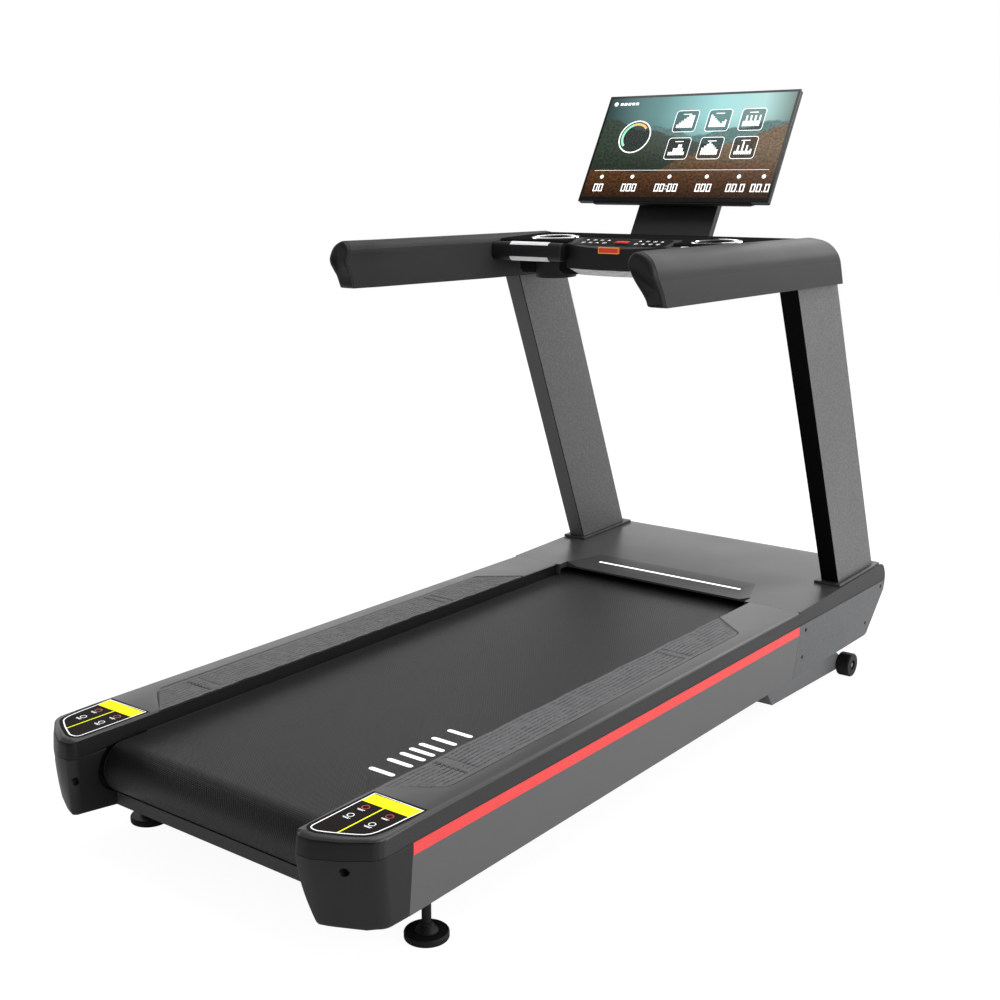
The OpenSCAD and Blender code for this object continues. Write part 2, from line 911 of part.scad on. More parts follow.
module cap_solid() {
  difference() {
    hull() {
      plan_profile([rail_top - 1, rail_top], cap_plan(0, cap_y));
      plan_profile([rail_bottom + 14, rail_bottom + 15], cap_foot(0, cap_y));
      plan_profile([rail_bottom + 3, rail_bottom + 3.1], cap_foot(9, cap_y));
    }
    hull() {
      plan_profile([rail_top, rail_top + 1], cap_plan(cover_wall, cap_y + 1));
      plan_profile([rail_bottom + 2, rail_bottom + 3], cap_foot(cover_wall + 9, cap_y + 1));
      plan_profile([rail_bottom + 15, rail_bottom + 16], cap_foot(cover_wall, cap_y + 1));
    }
    // Arch for the belt, passage of the rear beam, rail end and service hole
    rod_x([well_half - 1, roller_half + 30], rear_roller_y, roller_z, belt_outer + 5);
    span([well_half - 1, tube_in + 1], [rail_rear_y - 41, cap_y + 1],
      [rail_bottom - 1, rail_bottom + 36]);
    span([tube_in - 0.4, half_width + 1], [rail_rear_y - 41, cap_y + 1],
      [rail_bottom - 1, rail_top + 1]);
    rod_y(bolt_x, [rear_y - 1, rear_roller_y - 70], roller_z, 9);
  }
  // Outer side wall reaching the rail skin
  side_profile([tube_out + 0.4, half_width], [
    [rail_rear_y - 44, rail_bottom + 3],
    [cap_y - cap_lean * (rail_height - 3) / rail_height, rail_bottom + 3],
    [cap_y, rail_top],
    [rail_rear_y - 44, rail_top]
  ]);
}

module end_cap_left() {
  color([0.13, 0.13, 0.14])
    on_side(-1)
      cap_solid();
}

module end_cap_right() {
  color([0.13, 0.13, 0.14])
    on_side(1)
      cap_solid();
}

hood_round = 40;
hood_top_y = front_y - hood_round;
hood_slope = hood_rise / (hood_top_y - seam_y);
lip_y = seam_y + 35;
lip_z = step_height - 9;
dip_y = seam_y + 145;
dip_z = step_height + hood_slope * 145;
lip_half = 258;
nose_y = front_y - 4;
nose_z = rail_top - 24;
chin_y = front_y - 103;
chin_z = rail_bottom + 10;
front_slope = atan((nose_y - chin_y) / (nose_z - chin_z));

module hood() {
  top = step_height + hood_rise;
  wall = cover_wall;
  color([0.5, 0.5, 0.51])
    difference() {
      side_profile([-cover_out, cover_out], concat(
        [[seam_y, rail_top], [seam_y, step_height]],
        arc(hood_top_y, top - hood_round, hood_round, 90, 0, 12),
        [[nose_y, nose_z], [chin_y, chin_z], [chin_y - 4, chin_z],
          [nose_y - 4, nose_z], [nose_y - 4, rail_top]]));
      // Hollow below the top
      side_profile([-cover_out + wall, cover_out - wall], concat(
        [[seam_y + wall, rail_top - 1], [seam_y + wall, step_height - 14],
          [dip_y + 4, step_height - 14], [dip_y + 20, step_height]],
        arc(hood_top_y, top - hood_round, hood_round - wall, 90, 0, 12),
        [[nose_y - wall - 1, rail_top - 1]]));
      // Mouth of the belt
      span([-well_half + 12, well_half - 12], [seam_y - 1, lip_y], [rail_top - 1, top + 1]);
      span([-well_half + 12, well_half - 12], [seam_y - 1, dip_y], [rail_top - 1, lip_z - 8]);
      // Sloped dip behind the lip with slanted sides
      hull() {
        dip_layer(lip_half, lip_half - 10, 0);
        dip_layer(well_half - 4, lip_half - 6, step_height - lip_z + 4);
      }
      light_slot(3);
      span([-deck_half - 5, deck_half + 5], [seam_y - 1, seam_y + 10], [rail_top - 1, belt_top + 1]);
      both_sides()
        lean_column(1.2, rail_top - 10, top + 10);
      both_sides()
        span([tube_out - 60, cover_out + 1], [seam_y - 1, nose_y - 60], [rail_top - 40, rail_top]);
      both_sides()
        span([tube_out - 0.3, cover_out + 1], [chin_y - 10, nose_y + 1], [chin_z - 1, rail_top]);
      on_front(-60)
        translate([-26, -16, -8])
          cube([52, 32, 16]);
      on_front(20)
        translate([-11.3, -15.3, -8])
          cube([22.6, 30.6, 16]);
    }
}

// Thin sloping layer of the dip, wider at the lip than at its far end
module dip_layer(near, far, lift) {
  intersection() {
    side_profile([-near, near], [
      [lip_y - 2, lip_z + lift],
      [dip_y, dip_z + lift],
      [dip_y, dip_z + lift + 0.2],
      [lip_y - 2, lip_z + lift + 0.2]
    ]);
    plan_profile([lip_z - 1, dip_z + lift + 2], [
      [-near, lip_y - 3], [near, lip_y - 3], [far, dip_y + 1], [-far, dip_y + 1]
    ]);
  }
}

module light_slot(extra) {
  rise = (dip_z - lip_z) / (dip_y - lip_y);
  y0 = lip_y + 57;
  y1 = lip_y + 64;
  side_profile([-225, 225], [
    [y0, lip_z + rise * (y0 - lip_y) - 2],
    [y1, lip_z + rise * (y1 - lip_y) - 2],
    [y1, lip_z + rise * (y1 - lip_y) + 0.2 + extra],
    [y0, lip_z + rise * (y0 - lip_y) + 0.2 + extra]
  ]);
}

module light_strip() {
  color([0.95, 0.96, 0.98])
    light_slot(0);
}

// Place on the slanted wall below the nose, third axis pointing out
module on_front(x) {
  translate([x, (nose_y + chin_y) / 2, (nose_z + chin_z) / 2])
    rotate([-90 - front_slope, 0, 0])
      children();
}

module power_inlet() {
  color([0.06, 0.06, 0.06])
    on_front(-60) {
      difference() {
        union() {
          translate([-32, -20, 0])
            cube([64, 40, 3]);
          translate([-25.6, -15.6, -22])
            cube([51.2, 31.2, 22]);
        }
        translate([-14, -10, -16])
          cube([28, 20, 20]);
        for (x = [-26, 26])
          translate([x + (x > 0 ? 2.5 : -2.5), 0, -1])
            cylinder(h = 5, r = 1.6);
      }
      for (x = [-6, 0, 6])
        translate([x - 1, x == 0 ? 1 : -3, -17])
          cube([2, 2, 12]);
    }
}

module switch_frame() {
  color([0.06, 0.06, 0.06])
    on_front(20)
      difference() {
        union() {
          translate([-14, -18, 0])
            cube([28, 36, 2]);
          translate([-11, -15, -16])
            cube([22, 30, 16]);
        }
        translate([-8.5, -12.5, -13])
          cube([17, 25, 20]);
        translate([-10.1, 0, -2])
          rotate([0, 90, 0])
            cylinder(h = 20.2, r = 1.4 + running_fit);
      }
}

module power_switch() {
  color([0.75, 0.08, 0.06])
    on_front(20)
      translate([0, 0, -2]) {
        rotate([8, 0, 0])
          intersection() {
            translate([-8, -11.5, -7])
              cube([16, 23, 12]);
            rotate([0, 90, 0])
              translate([0, 0, -8])
                cylinder(h = 16, r = 11.8);
          }
        rotate([0, 90, 0])
          translate([0, 0, -10])
            cylinder(h = 20, r = 1.4);
      }
}

module plate_solid() {
  difference() {
    side_profile([tube_out, half_width], [
      [seam_y + 0.6, rail_top],
      [seam_y + 0.6, rail_top - stripe_height],
      [seam_y - plate_lean + 0.6, rail_bottom],
      [front_y - 128, rail_bottom],
      [front_y - 115, rail_bottom + 3],
      [chin_y - 5, chin_z],
      [nose_y - 5, nose_z],
      [nose_y - 5, rail_top]
    ]);
    for (p = screw_points)
      screw_shape(p, 0.1);
  }
}

screw_points = [
  [seam_y + 36, rail_top - 17],
  [seam_y + 21, rail_bottom + 46],
  [front_y - 33, rail_top - 13],
  [front_y - 127, rail_bottom + 36]
];

module screw_shape(p, grow) {
  rod_x([tube_out - grow, half_width - 1], p[0], p[1], 3 + grow);
  rod_x([half_width - 2.2, half_width + grow * 20], p[0], p[1], 5 + grow);
}

module front_plates() {
  color([0.42, 0.43, 0.44])
    both_sides()
      plate_solid();
}

module cover_screws() {
  color([0.04, 0.04, 0.04])
    both_sides()
      for (p = screw_points)
        difference() {
          screw_shape(p, 0);
          rod_x([half_width - 1.4, half_width + 1], p[0], p[1], 1.8);
        }
}

// ---- Uprights

// Hollow column closed by a top plate with a tenon for the handrail
module column_solid() {
  difference() {
    lean_column(0, rail_web, arm_z);
    lean_column(-3, rail_web - 1, arm_z - 6);
    // Foot cut off behind the slanted front wall
    side_profile([upright_in - 1, upright_out + 1], [
      [nose_y - 4.6, rail_top],
      [nose_y - 4.6, nose_z],
      [nose_y + 60, rail_top],
      [nose_y + 60, chin_z],
      [chin_y - 4.6, chin_z]
    ]);
  }
  lean_column(-12, arm_z - 1, upright_top);
}

module upright_left() {
  color([0.46, 0.46, 0.47])
    on_side(-1)
      column_solid();
}

module upright_right() {
  color([0.46, 0.46, 0.47])
    on_side(1)
      column_solid();
}

module upright_boots() {
  y0 = upright_y - 22;
  y1 = hood_top_y - 2;
  z0 = step_height + hood_slope * (y0 - seam_y);
  z1 = step_height + hood_slope * (y1 - seam_y);
  color([0.08, 0.08, 0.08])
    both_sides()
      difference() {
        side_profile([upright_in - 13.5, half_width - 4], [
          [y0, z0], [y1, z1], [y1, z1 + 7], [y0 + 2, z0 + 7], [y0, z0 + 5]
        ]);
        lean_column(0.3, rail_top, z1 + 20);
      }
}

// ---- Handrails

// Outer and upper line of a handrail section from its outer foot to the grip
arm_crown = [
  [0, 0], [0, 56], [-3, 73], [-10, 88], [-20, 100], [-35, 109],
  [-50, 113], [-62, 112], [-74, 103], [-79, 93]
];

// Section with a hand channel on its inner side, down to a foot of the given width
function arm_grip(foot) = concat(arm_crown,
  [for (p = [[0.04, 85], [0.22, 78], [0.38, 65], [0.55, 41], [0.82, 16], [1, 0]])
    [-79 + (79 - foot) * p[0], p[1]]]);

foot_rear = 46;
foot_steps = 5;

arm_block = concat(arm_crown, [[-79, 0]]);

module arm_section(y, points, shrink) {
  translate([half_width - 40 * (1 - shrink), 0, arm_z + 60 * (1 - shrink)])
    cross_profile(y, [for (p = points) [p[0] * shrink, p[1] * shrink * arm_height / 113]]);
}

function grip_step(i) = arm_rear_y + 34 + i * (bar_y - arm_rear_y - 34) / foot_steps;

module arm_solid() {
  difference() {
    intersection() {
      union() {
        for (i = [0 : foot_steps - 1])
          arm_section([grip_step(i), grip_step(i + 1) + 1],
            arm_grip(foot_rear + (i + 0.5) * (79 - foot_rear) / foot_steps), 1);
        arm_section([bar_y + 1, arm_front_y], arm_block, 1);
      }
      side_profile([0, half_width + 1], concat(
        [[arm_rear_y, arm_z - 1], [arm_rear_y, arm_top + 1],
          [arm_front_y - 82, arm_top + 1], [arm_front_y - 76, arm_top]],
        arc(arm_front_y - 72, arm_top - 50, 50, 84, 12, 8),
        [[arm_front_y, arm_z], [arm_front_y, arm_z - 1]]));
    }
    arm_section([bar_y + 8, arm_front_y - 40], arm_block, 0.88);
    lean_column(-11.7, arm_z - 5, upright_top + 5);
  }
}

module handrail_left() {
  color([0.36, 0.36, 0.37])
    on_side(-1)
      arm_solid();
}

module handrail_right() {
  color([0.36, 0.36, 0.37])
    on_side(1)
      arm_solid();
}

module grip_ends() {
  color([0.1, 0.1, 0.1])
    both_sides()
      hull() {
        arm_section([arm_rear_y + 16, arm_rear_y + 34], arm_grip(foot_rear), 1);
        translate([-6, 0, 0])
          arm_section([arm_rear_y, arm_rear_y + 1], arm_grip(foot_rear), 0.72);
      }
}

// ---- Console

function tray_level(y) = tray_top + (y - tray_rear_y) * tan(2.2);

module pulse_bars() {
  h = 47;
  z = arm_z + 48;
  color([0.12, 0.12, 0.12])
    both_sides()
      side_profile([box_half, tray_half], concat(
        [[tray_y, z + 4], [tray_y, z + h - 4]],
        arc(bar_y + 14, z + h - 14, 14, 90, 180, 6),
        arc(bar_y + 14, z + 14, 14, 180, 270, 6)));
}

module pulse_plates() {
  z = arm_z + 48;
  color([0.9, 0.9, 0.91])
    both_sides()
      for (p = [[z + 33, 90, 150], [z + 14, 195, 255]])
        side_profile([box_half + 40, tray_half - 59], concat(
          arc(bar_y + 14, p[0], 14, p[1], p[2], 4),
          arc(bar_y + 14, p[0], 15.2, p[2], p[1], 4)));
}

module console_tray() {
  color([0.12, 0.12, 0.13])
    difference() {
      union() {
        side_profile([-tray_half, tray_half], [
          [tray_y, arm_z + 60],
          [tray_y, tray_level(tray_y) - 4],
          [tray_y + 4, tray_level(tray_y + 4)],
          [tray_rear_y - 5, tray_level(tray_rear_y - 5)],
          [tray_rear_y, tray_level(tray_rear_y) - 5],
          [tray_rear_y, arm_z + 60]
        ]);
        side_profile([-tray_half + 45, tray_half - 45], [
          [tray_y + 25, arm_z + 60],
          [tray_rear_y - 3, arm_z + 60],
          [tray_rear_y - 12, arm_z + 20],
          [tray_rear_y - 24, arm_z + 14],
          [tray_y + 36, arm_z + 14],
          [tray_y + 25, arm_z + 24]
        ]);
      }
      // Room of the keypad housing
      span([-box_half, box_half], [tray_y - 1, tray_y + 45], [arm_z, arm_top + 5]);
      // Hollow for the electronics
      span([-box_half, box_half], [tray_y + 50, tray_rear_y - 40], [arm_z + 20, arm_z + 84]);
      both_sides() {
        span([box_half + 6, tray_half - 50], [cup_y + cup_radius + 8, tray_rear_y - 28],
          [arm_z + 20, arm_z + 98]);
        span([cup_offset + cup_radius + 8, tray_half - 6], [tray_y + 6, tray_rear_y - 6],
          [arm_z + 64, arm_z + 94]);
      }
      on_cups()
        translate([0, 0, -cup_depth - 10])
          cylinder(h = cup_depth + 20, r = cup_radius + 3 + running_fit);
      mast_shape();
    }
}

// Middle of each cup on the sloping tray, third axis square to the tray
module on_cups() {
  both_sides()
    translate([cup_offset, cup_y, tray_level(cup_y)])
      rotate([2.2, 0, 0])
        children();
}

module cup_holders() {
  color([0.08, 0.08, 0.08])
    on_cups()
      difference() {
        translate([0, 0, -cup_depth])
          cylinder(h = cup_depth, r = cup_radius + 3);
        translate([0, 0, -cup_depth + 4])
          cylinder(h = cup_depth, r = cup_radius);
      }
}

module cup_rings() {
  color([0.85, 0.85, 0.86])
    on_cups()
      rotate_extrude()
        polygon([
          [cup_radius, 0],
          [cup_radius + 12, 0],
          [cup_radius + 11, 2.4],
          [cup_radius + 6, 3.4],
          [cup_radius + 1, 2.4]
        ]);
}

box_arc = 347;

function box_plan(t, y1) = concat(
  [[box_half - t, y1]],
  [for (i = [9 : -1 : -9])
    let (a = i * asin((box_half - t) / box_arc) / 9)
      [(box_arc - t) * sin(a), box_y + box_arc - (box_arc - t) * cos(a)]],
  [[-box_half + t, y1]]);

module on_keys() {
  translate([0, key_y, key_z])
    rotate([key_slope, 0, 0])
      children();
}

module keypad_housing() {
  y1 = tray_y + 45;
  color([0.11, 0.11, 0.12])
    difference() {
      intersection() {
        plan_profile([box_bottom, arm_top + 20], box_plan(0, y1));
        side_profile([-box_half, box_half], [
          [box_y - 5, box_bottom],
          [y1, box_bottom],
          [y1, key_z + (y1 - key_y) * tan(key_slope)],
          [box_y - 5, key_z + (box_y - 5 - key_y) * tan(key_slope)]
        ]);
      }
      intersection() {
        plan_profile([box_bottom + 3, arm_top + 20], box_plan(3, y1 - 3));
        side_profile([-box_half, box_half], [
          [box_y - 5, box_bottom + 3],
          [y1, box_bottom + 3],
          [y1, key_z + (y1 - key_y) * tan(key_slope) - 8],
          [box_y - 5, key_z + (box_y - 5 - key_y) * tan(key_slope) - 8]
        ]);
      }
      on_keys()
        plan_profile([-2.6, 10], key_plan(0.2));
      on_keys()
        stop_shape(running_fit, -20, 10);
      rod_y(0, [box_y - 5, box_y + 20], key_tag_z, 3 + running_fit);
    }
}

key_tag_z = key_z - 14;

function key_plan(g) = [
  [-128 - g, -g],
  [128 + g, -g],
  [134 + g, 8],
  [134 + g, 56],
  [124 + g, 64 + g],
  [-124 - g, 64 + g],
  [-134 - g, 56],
  [-134 - g, 8]
];

module keypad() {
  color([0.02, 0.02, 0.02])
    on_keys()
      difference() {
        plan_profile([-2.6, 0.6], key_plan(0));
        stop_shape(0.4, -5, 5);
      }
}

module stop_shape(grow, z0, z1) {
  translate([-17 - grow, 24 - grow, z0])
    cube([34 + 2 * grow, 14 + 2 * grow, z1 - z0]);
}

module stop_key() {
  color([0.9, 0.1, 0.1])
    on_keys()
      stop_shape(0, -7.5, 0.6 + stop_travel);
}

module safety_key() {
  color([0.88, 0.13, 0.13])
    union() {
      span([-30, 30], [box_y - 6, box_y], [key_tag_z - 4, key_tag_z + 12]);
      rod_y(0, [box_y - 2, box_y + 16], key_tag_z, 3);
    }
}

module chin_panel() {
  y1 = tray_y + 24;
  color([0.75, 0.75, 0.75])
    hull() {
      plan_profile([box_bottom - 1, box_bottom], box_plan(5, y1));
      plan_profile([box_bottom - 16, box_bottom - 15.5], box_plan(24, y1));
    }
}

// ---- Screen

// Third axis points from the screen to the user, second axis runs up its slope
module on_screen() {
  translate([0, screen_y, screen_z])
    rotate([90 - screen_lean, 0, 0])
      children();
}

module mast_shape() {
  on_screen()
    translate([-mast_half, -104, -mast_gap - 20])
      cube([2 * mast_half, 294, 20]);
}

module mast() {
  color([0.1, 0.1, 0.11])
    difference() {
      mast_shape();
      on_screen()
        translate([-mast_half + 3, -105, -mast_gap - 17])
          cube([2 * mast_half - 6, 292, 14]);
    }
}

module screen_housing() {
  w = screen_width / 2;
  color([0.3, 0.3, 0.31])
    on_screen() {
      translate([-w, 0, -screen_edge])
        cube([screen_width, screen_height, screen_edge - 2.2]);
      translate([-150, 50, -mast_gap])
        cube([300, 200, mast_gap - screen_edge + 1]);
      plan_profile([-screen_edge, -2.2], [
        [-w + 38, 1],
        [-w + 52, -4],
        [w - 52, -4],
        [w - 38, 1]
      ]);
    }
}

module screen_glass() {
  color([0.1, 0.2, 0.25])
    on_screen()
      translate([-screen_width / 2, 0, -2.2])
        cube([screen_width, screen_height, 2.2]);
}

side_rail_left();
side_rail_right();
accent_stripes();
rear_beam();
deck_members();
front_beam();
belly_pan();
deck_board();
deck_cushions();
running_belt();
rear_roller();
front_roller();
rear_axle();
front_axle();
roller_bearings();
tension_bolts();
drive_motor();
motor_rotor();
drive_belt();
motor_controller();
lift_motor();
lift_screw();
lift_frame();
front_wheel_left();
front_wheel_right();
rear_foot_left();
rear_foot_right();
lock_nuts();
rail_cover_left();
rail_cover_right();
tread_pads();
label_plates();
end_cap_left();
end_cap_right();
hood();
light_strip();
power_inlet();
switch_frame();
power_switch();
front_plates();
cover_screws();
upright_left();
upright_right();
upright_boots();
handrail_left();
handrail_right();
grip_ends();
pulse_bars();
pulse_plates();
console_tray();
cup_holders();
cup_rings();
keypad_housing();
keypad();
stop_key();
safety_key();
chin_panel();
mast();
screen_housing();
screen_glass();
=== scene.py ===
import json
import math

import bmesh
import bpy
from mathutils import Matrix, Vector

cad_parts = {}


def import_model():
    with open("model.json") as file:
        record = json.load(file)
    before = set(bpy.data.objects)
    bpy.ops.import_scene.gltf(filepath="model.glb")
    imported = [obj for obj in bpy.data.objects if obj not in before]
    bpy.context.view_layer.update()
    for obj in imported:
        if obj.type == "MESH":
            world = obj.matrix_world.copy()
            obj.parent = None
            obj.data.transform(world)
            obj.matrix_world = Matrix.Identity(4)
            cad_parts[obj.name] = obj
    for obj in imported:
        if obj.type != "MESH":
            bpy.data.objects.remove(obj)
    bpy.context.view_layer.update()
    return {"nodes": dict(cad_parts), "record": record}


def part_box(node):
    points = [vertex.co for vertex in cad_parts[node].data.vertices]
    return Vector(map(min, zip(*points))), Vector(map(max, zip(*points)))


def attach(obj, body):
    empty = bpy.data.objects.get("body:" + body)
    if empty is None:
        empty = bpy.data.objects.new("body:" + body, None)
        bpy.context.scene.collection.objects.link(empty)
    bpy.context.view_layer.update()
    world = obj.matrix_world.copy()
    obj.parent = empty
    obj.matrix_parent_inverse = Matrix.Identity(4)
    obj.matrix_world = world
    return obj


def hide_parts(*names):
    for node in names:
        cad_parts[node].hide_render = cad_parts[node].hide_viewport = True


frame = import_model()
scene = bpy.context.scene
nodes = frame["nodes"]
record = frame["record"]
body_of = {n: b for b, members in record["behaviour"]["bodies"].items() for n in members}


def box(node):
    low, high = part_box(node)
    return Vector(low), Vector(high)


def ease(a, b, x):
    """Smooth step of x from 0 at a to 1 at b."""
    t = min(1.0, max(0.0, (x - a) / (b - a)))
    return t * t * (3 - 2 * t)


# ---- materials

MIX_A, MIX_B, MIX_COLOR = 6, 7, 2  # the colour sockets of a Mix node


class Graph:
    """Adds and links the nodes of one node tree."""

    def __init__(self, tree):
        self.tree = tree

    def node(self, kind, inputs=None, **props):
        n = self.tree.nodes.new("ShaderNode" + kind)
        for key, value in props.items():
            setattr(n, key, value)
        for key, value in (inputs or {}).items():
            n.inputs[key].default_value = value
        return n

    def link(self, a, b):
        self.tree.links.new(a, b)

    def feed(self, value, socket):
        """Gives a socket a constant, or links another node's output to it."""
        if isinstance(value, (int, float)):
            socket.default_value = value
        else:
            self.link(value, socket)

    def math(self, op, *values, clamp=False):
        n = self.node("Math", operation=op, use_clamp=clamp)
        for value, socket in zip(values, n.inputs):
            self.feed(value, socket)
        return n.outputs[0]

    def axes(self, vector):
        n = self.node("SeparateXYZ")
        self.link(vector, n.inputs[0])
        return n.outputs

    def ramp(self, fac, stops):
        n = self.node("ValToRGB")
        e = n.color_ramp.elements
        e.remove(e[-1])
        for i, (place, color) in enumerate(stops):
            stop = e[0] if i == 0 else e.new(place)
            stop.position = place
            stop.color = (*color, 1.0)
        self.link(fac, n.inputs["Fac"])
        return n.outputs["Color"]

    def mix(self, fac, a, b, blend="MIX"):
        n = self.node("Mix", data_type="RGBA", blend_type=blend)
        self.feed(fac, n.inputs["Factor"])
        self.link(a, n.inputs[MIX_A])
        self.link(b, n.inputs[MIX_B])
        return n.outputs[MIX_COLOR]

    def mix_shader(self, fac, a, b):
        n = self.node("MixShader")
        self.feed(fac, n.inputs[0])
        self.link(a.outputs[0], n.inputs[1])
        self.link(b.outputs[0], n.inputs[2])
        return n


class Shade(Graph):
    """One procedural material on a Principled shader."""

    def __init__(self, name, color, rough, metal=0.0, spec=0.5, coat=0.0):
        self.mat = bpy.data.materials.new(name)
        self.mat.use_nodes = True
        self.mat.diffuse_color = (*color, 1.0)
        super().__init__(self.mat.node_tree)
        self.bsdf = self.tree.nodes["Principled BSDF"]
        self.color = color
        self.put("Base Color", (*color, 1.0))
        self.put("Roughness", rough)
        self.put("Metallic", metal)
        self.put("Specular IOR Level", spec)
        self.put("Coat Weight", coat)
        self.put("Coat Roughness", 0.1)

    def put(self, socket, value):
        self.bsdf.inputs[socket].default_value = value

    def emit(self, strength):
        self.put("Emission Color", (*self.color, 1.0))
        self.put("Emission Strength", strength)

    def coords(self, scale=(1, 1, 1), uv=False, shift=(0, 0, 0)):
        mapping = self.node("Mapping", {"Scale": scale, "Location": shift})
        source = self.node("TexCoord").outputs["UV" if uv else "Object"]
        self.link(source, mapping.inputs["Vector"])
        return mapping.outputs[0]

    def noise(self, scale, detail=2.0, rough=0.5, stretch=(1, 1, 1), **where):
        n = self.node("TexNoise", {"Scale": scale, "Detail": detail, "Roughness": rough})
        self.link(self.coords(stretch, **where), n.inputs["Vector"])
        return n.outputs["Fac"]

    def bump(self, height, depth):
        n = self.node("Bump", {"Strength": 1.0, "Distance": depth})
        self.link(height, n.inputs["Height"])
        self.link(n.outputs["Normal"], self.bsdf.inputs["Normal"])

    def mottle(self, fac, amount):
        """Colour that swings by amount about the base colour with fac from 0 to 1."""
        lo = tuple(max(0.0, c * (1 - amount)) for c in self.color)
        hi = tuple(min(1.0, c * (1 + amount)) for c in self.color)
        self.link(self.ramp(fac, [(0.3, lo), (0.7, hi)]), self.bsdf.inputs["Base Color"])

    def rough_by(self, fac, lo, hi):
        n = self.node("MapRange", {"To Min": lo, "To Max": hi})
        self.link(fac, n.inputs["Value"])
        self.link(n.outputs[0], self.bsdf.inputs["Roughness"])


def grey(value, blue=None):
    return (value, value, value if blue is None else blue)


def moulded(name, color, rough, grain=900.0, depth=0.00006, mottle=0.06, spec=0.5):
    """Moulded plastic with a fine grain and a little colour and gloss variation."""
    s = Shade(name, color, rough, spec=spec)
    s.bump(s.noise(grain, 1.5), depth)
    s.mottle(s.noise(grain * 0.45), mottle)
    s.rough_by(s.noise(7.0, 3.0), rough - 0.05, rough + 0.05)
    return s.mat


def housing(name, color, rough, mottle=0.08, spec=0.3):
    """Moulded plastic of the side covers and the hood, with a coarser grain."""
    return moulded(name, color, rough, grain=620.0, mottle=mottle, spec=spec)


def powder(name, color, rough, grain=520.0, depth=0.00016, mottle=0.16, spec=0.5):
    """Powder-coated steel with a fine orange-peel speckle."""
    s = Shade(name, color, rough, spec=spec)
    fleck = s.noise(grain, 2.5, 0.65)
    s.bump(fleck, depth)
    s.mottle(fleck, mottle)
    s.rough_by(s.noise(11.0), rough - 0.06, rough + 0.06)
    return s.mat


def steel(name, color, rough, stretch=(1, 1, 1)):
    """Bare metal with fine lines along its stretch."""
    s = Shade(name, color, rough, metal=1.0)
    line = s.noise(260.0, 3.0, 0.6, stretch)
    s.bump(line, 0.00002)
    s.mottle(line, 0.1)
    s.rough_by(line, rough - 0.08, rough + 0.1)
    return s.mat


def rubber(name, color, rough=0.7, grain=700.0):
    s = Shade(name, color, rough, spec=0.35)
    fine = s.noise(grain, 3.0, 0.6)
    s.bump(fine, 0.00012)
    s.mottle(s.noise(60.0, 3.0), 0.15)
    s.rough_by(fine, rough - 0.08, rough + 0.08)
    return s.mat


def gloss(name, color, rough, coat=0.3, spec=0.5):
    s = Shade(name, color, rough, coat=coat, spec=spec)
    s.mottle(s.noise(35.0), 0.04)
    s.rough_by(s.noise(90.0, 3.0), rough, rough + 0.08)
    return s.mat


def print_with_painted_glow(name, color, lift):
    """Bright matt ink with a painted glow of lift, so it stays clean on a dark ground."""
    s = Shade(name, color, 0.6, spec=0.1)
    s.mottle(s.noise(120.0), 0.03)
    s.rough_by(s.noise(60.0), 0.55, 0.65)
    # Painted glow, so the print reads brighter than its light makes it
    s.emit(lift)
    return s.mat


def glow(name, color, strength):
    # Painted glow: the piece gives out light of its own
    s = Shade(name, color, 0.4)
    s.emit(strength)
    s.rough_by(s.noise(80.0), 0.35, 0.45)
    return s.mat


def see_through(name, color, alpha, strength=0.0):
    s = Shade(name, color, 0.4)
    s.put("Alpha", alpha)
    s.emit(strength)
    return s.mat


WEAVE_ACROSS, WEAVE_ALONG = 0.0062, 0.0086  # size of a diamond of the belt's grip


def belt_material(name, color, smooth, rough, spec):
    """Woven grip: small diamonds along the belt, on the belt's own UV in metres."""
    s = Shade(name, color, 0.5, spec=spec)
    u, v, _ = s.axes(s.coords(uv=True))
    across = s.math("MULTIPLY", u, math.pi / WEAVE_ACROSS)
    along = s.math("MULTIPLY", v, math.pi / WEAVE_ALONG)
    lines = [s.math(op, across, along) for op in ("ADD", "SUBTRACT")]
    weave = s.math("MULTIPLY", *[s.math("ABSOLUTE", s.math("SINE", line)) for line in lines])
    s.bump(weave, 0.0005)
    fleck = s.noise(240.0, 3.0, 0.6)
    mix = s.math("ADD", s.math("MULTIPLY", weave, 0.7), s.math("MULTIPLY", fleck, 0.3))
    s.mottle(mix, 0.4)
    s.rough_by(mix, smooth, rough)
    return s.mat


def wood_material():
    s = Shade("deck_wood", (0.035, 0.028, 0.022), 0.6)
    ring = s.noise(30.0, 6.0, 0.6, (6, 0.4, 6))
    s.mottle(ring, 0.35)
    s.bump(ring, 0.0001)
    return s.mat


def mesh_material():
    """Pale perforated sheet: a grid of small dark holes."""
    s = Shade("chin_mesh", grey(0.8), 0.4)
    cell = s.node("TexVoronoi", {"Scale": 300.0, "Randomness": 0.0}, feature="F1")
    s.link(s.coords(), cell.inputs["Vector"])
    distance = cell.outputs["Distance"]
    hole = s.ramp(distance, [(0.30, grey(0.3)), (0.42, grey(0.9))])
    s.link(hole, s.bsdf.inputs["Base Color"])
    s.bump(s.math("GREATER_THAN", distance, 0.35), 0.0004)
    return s.mat


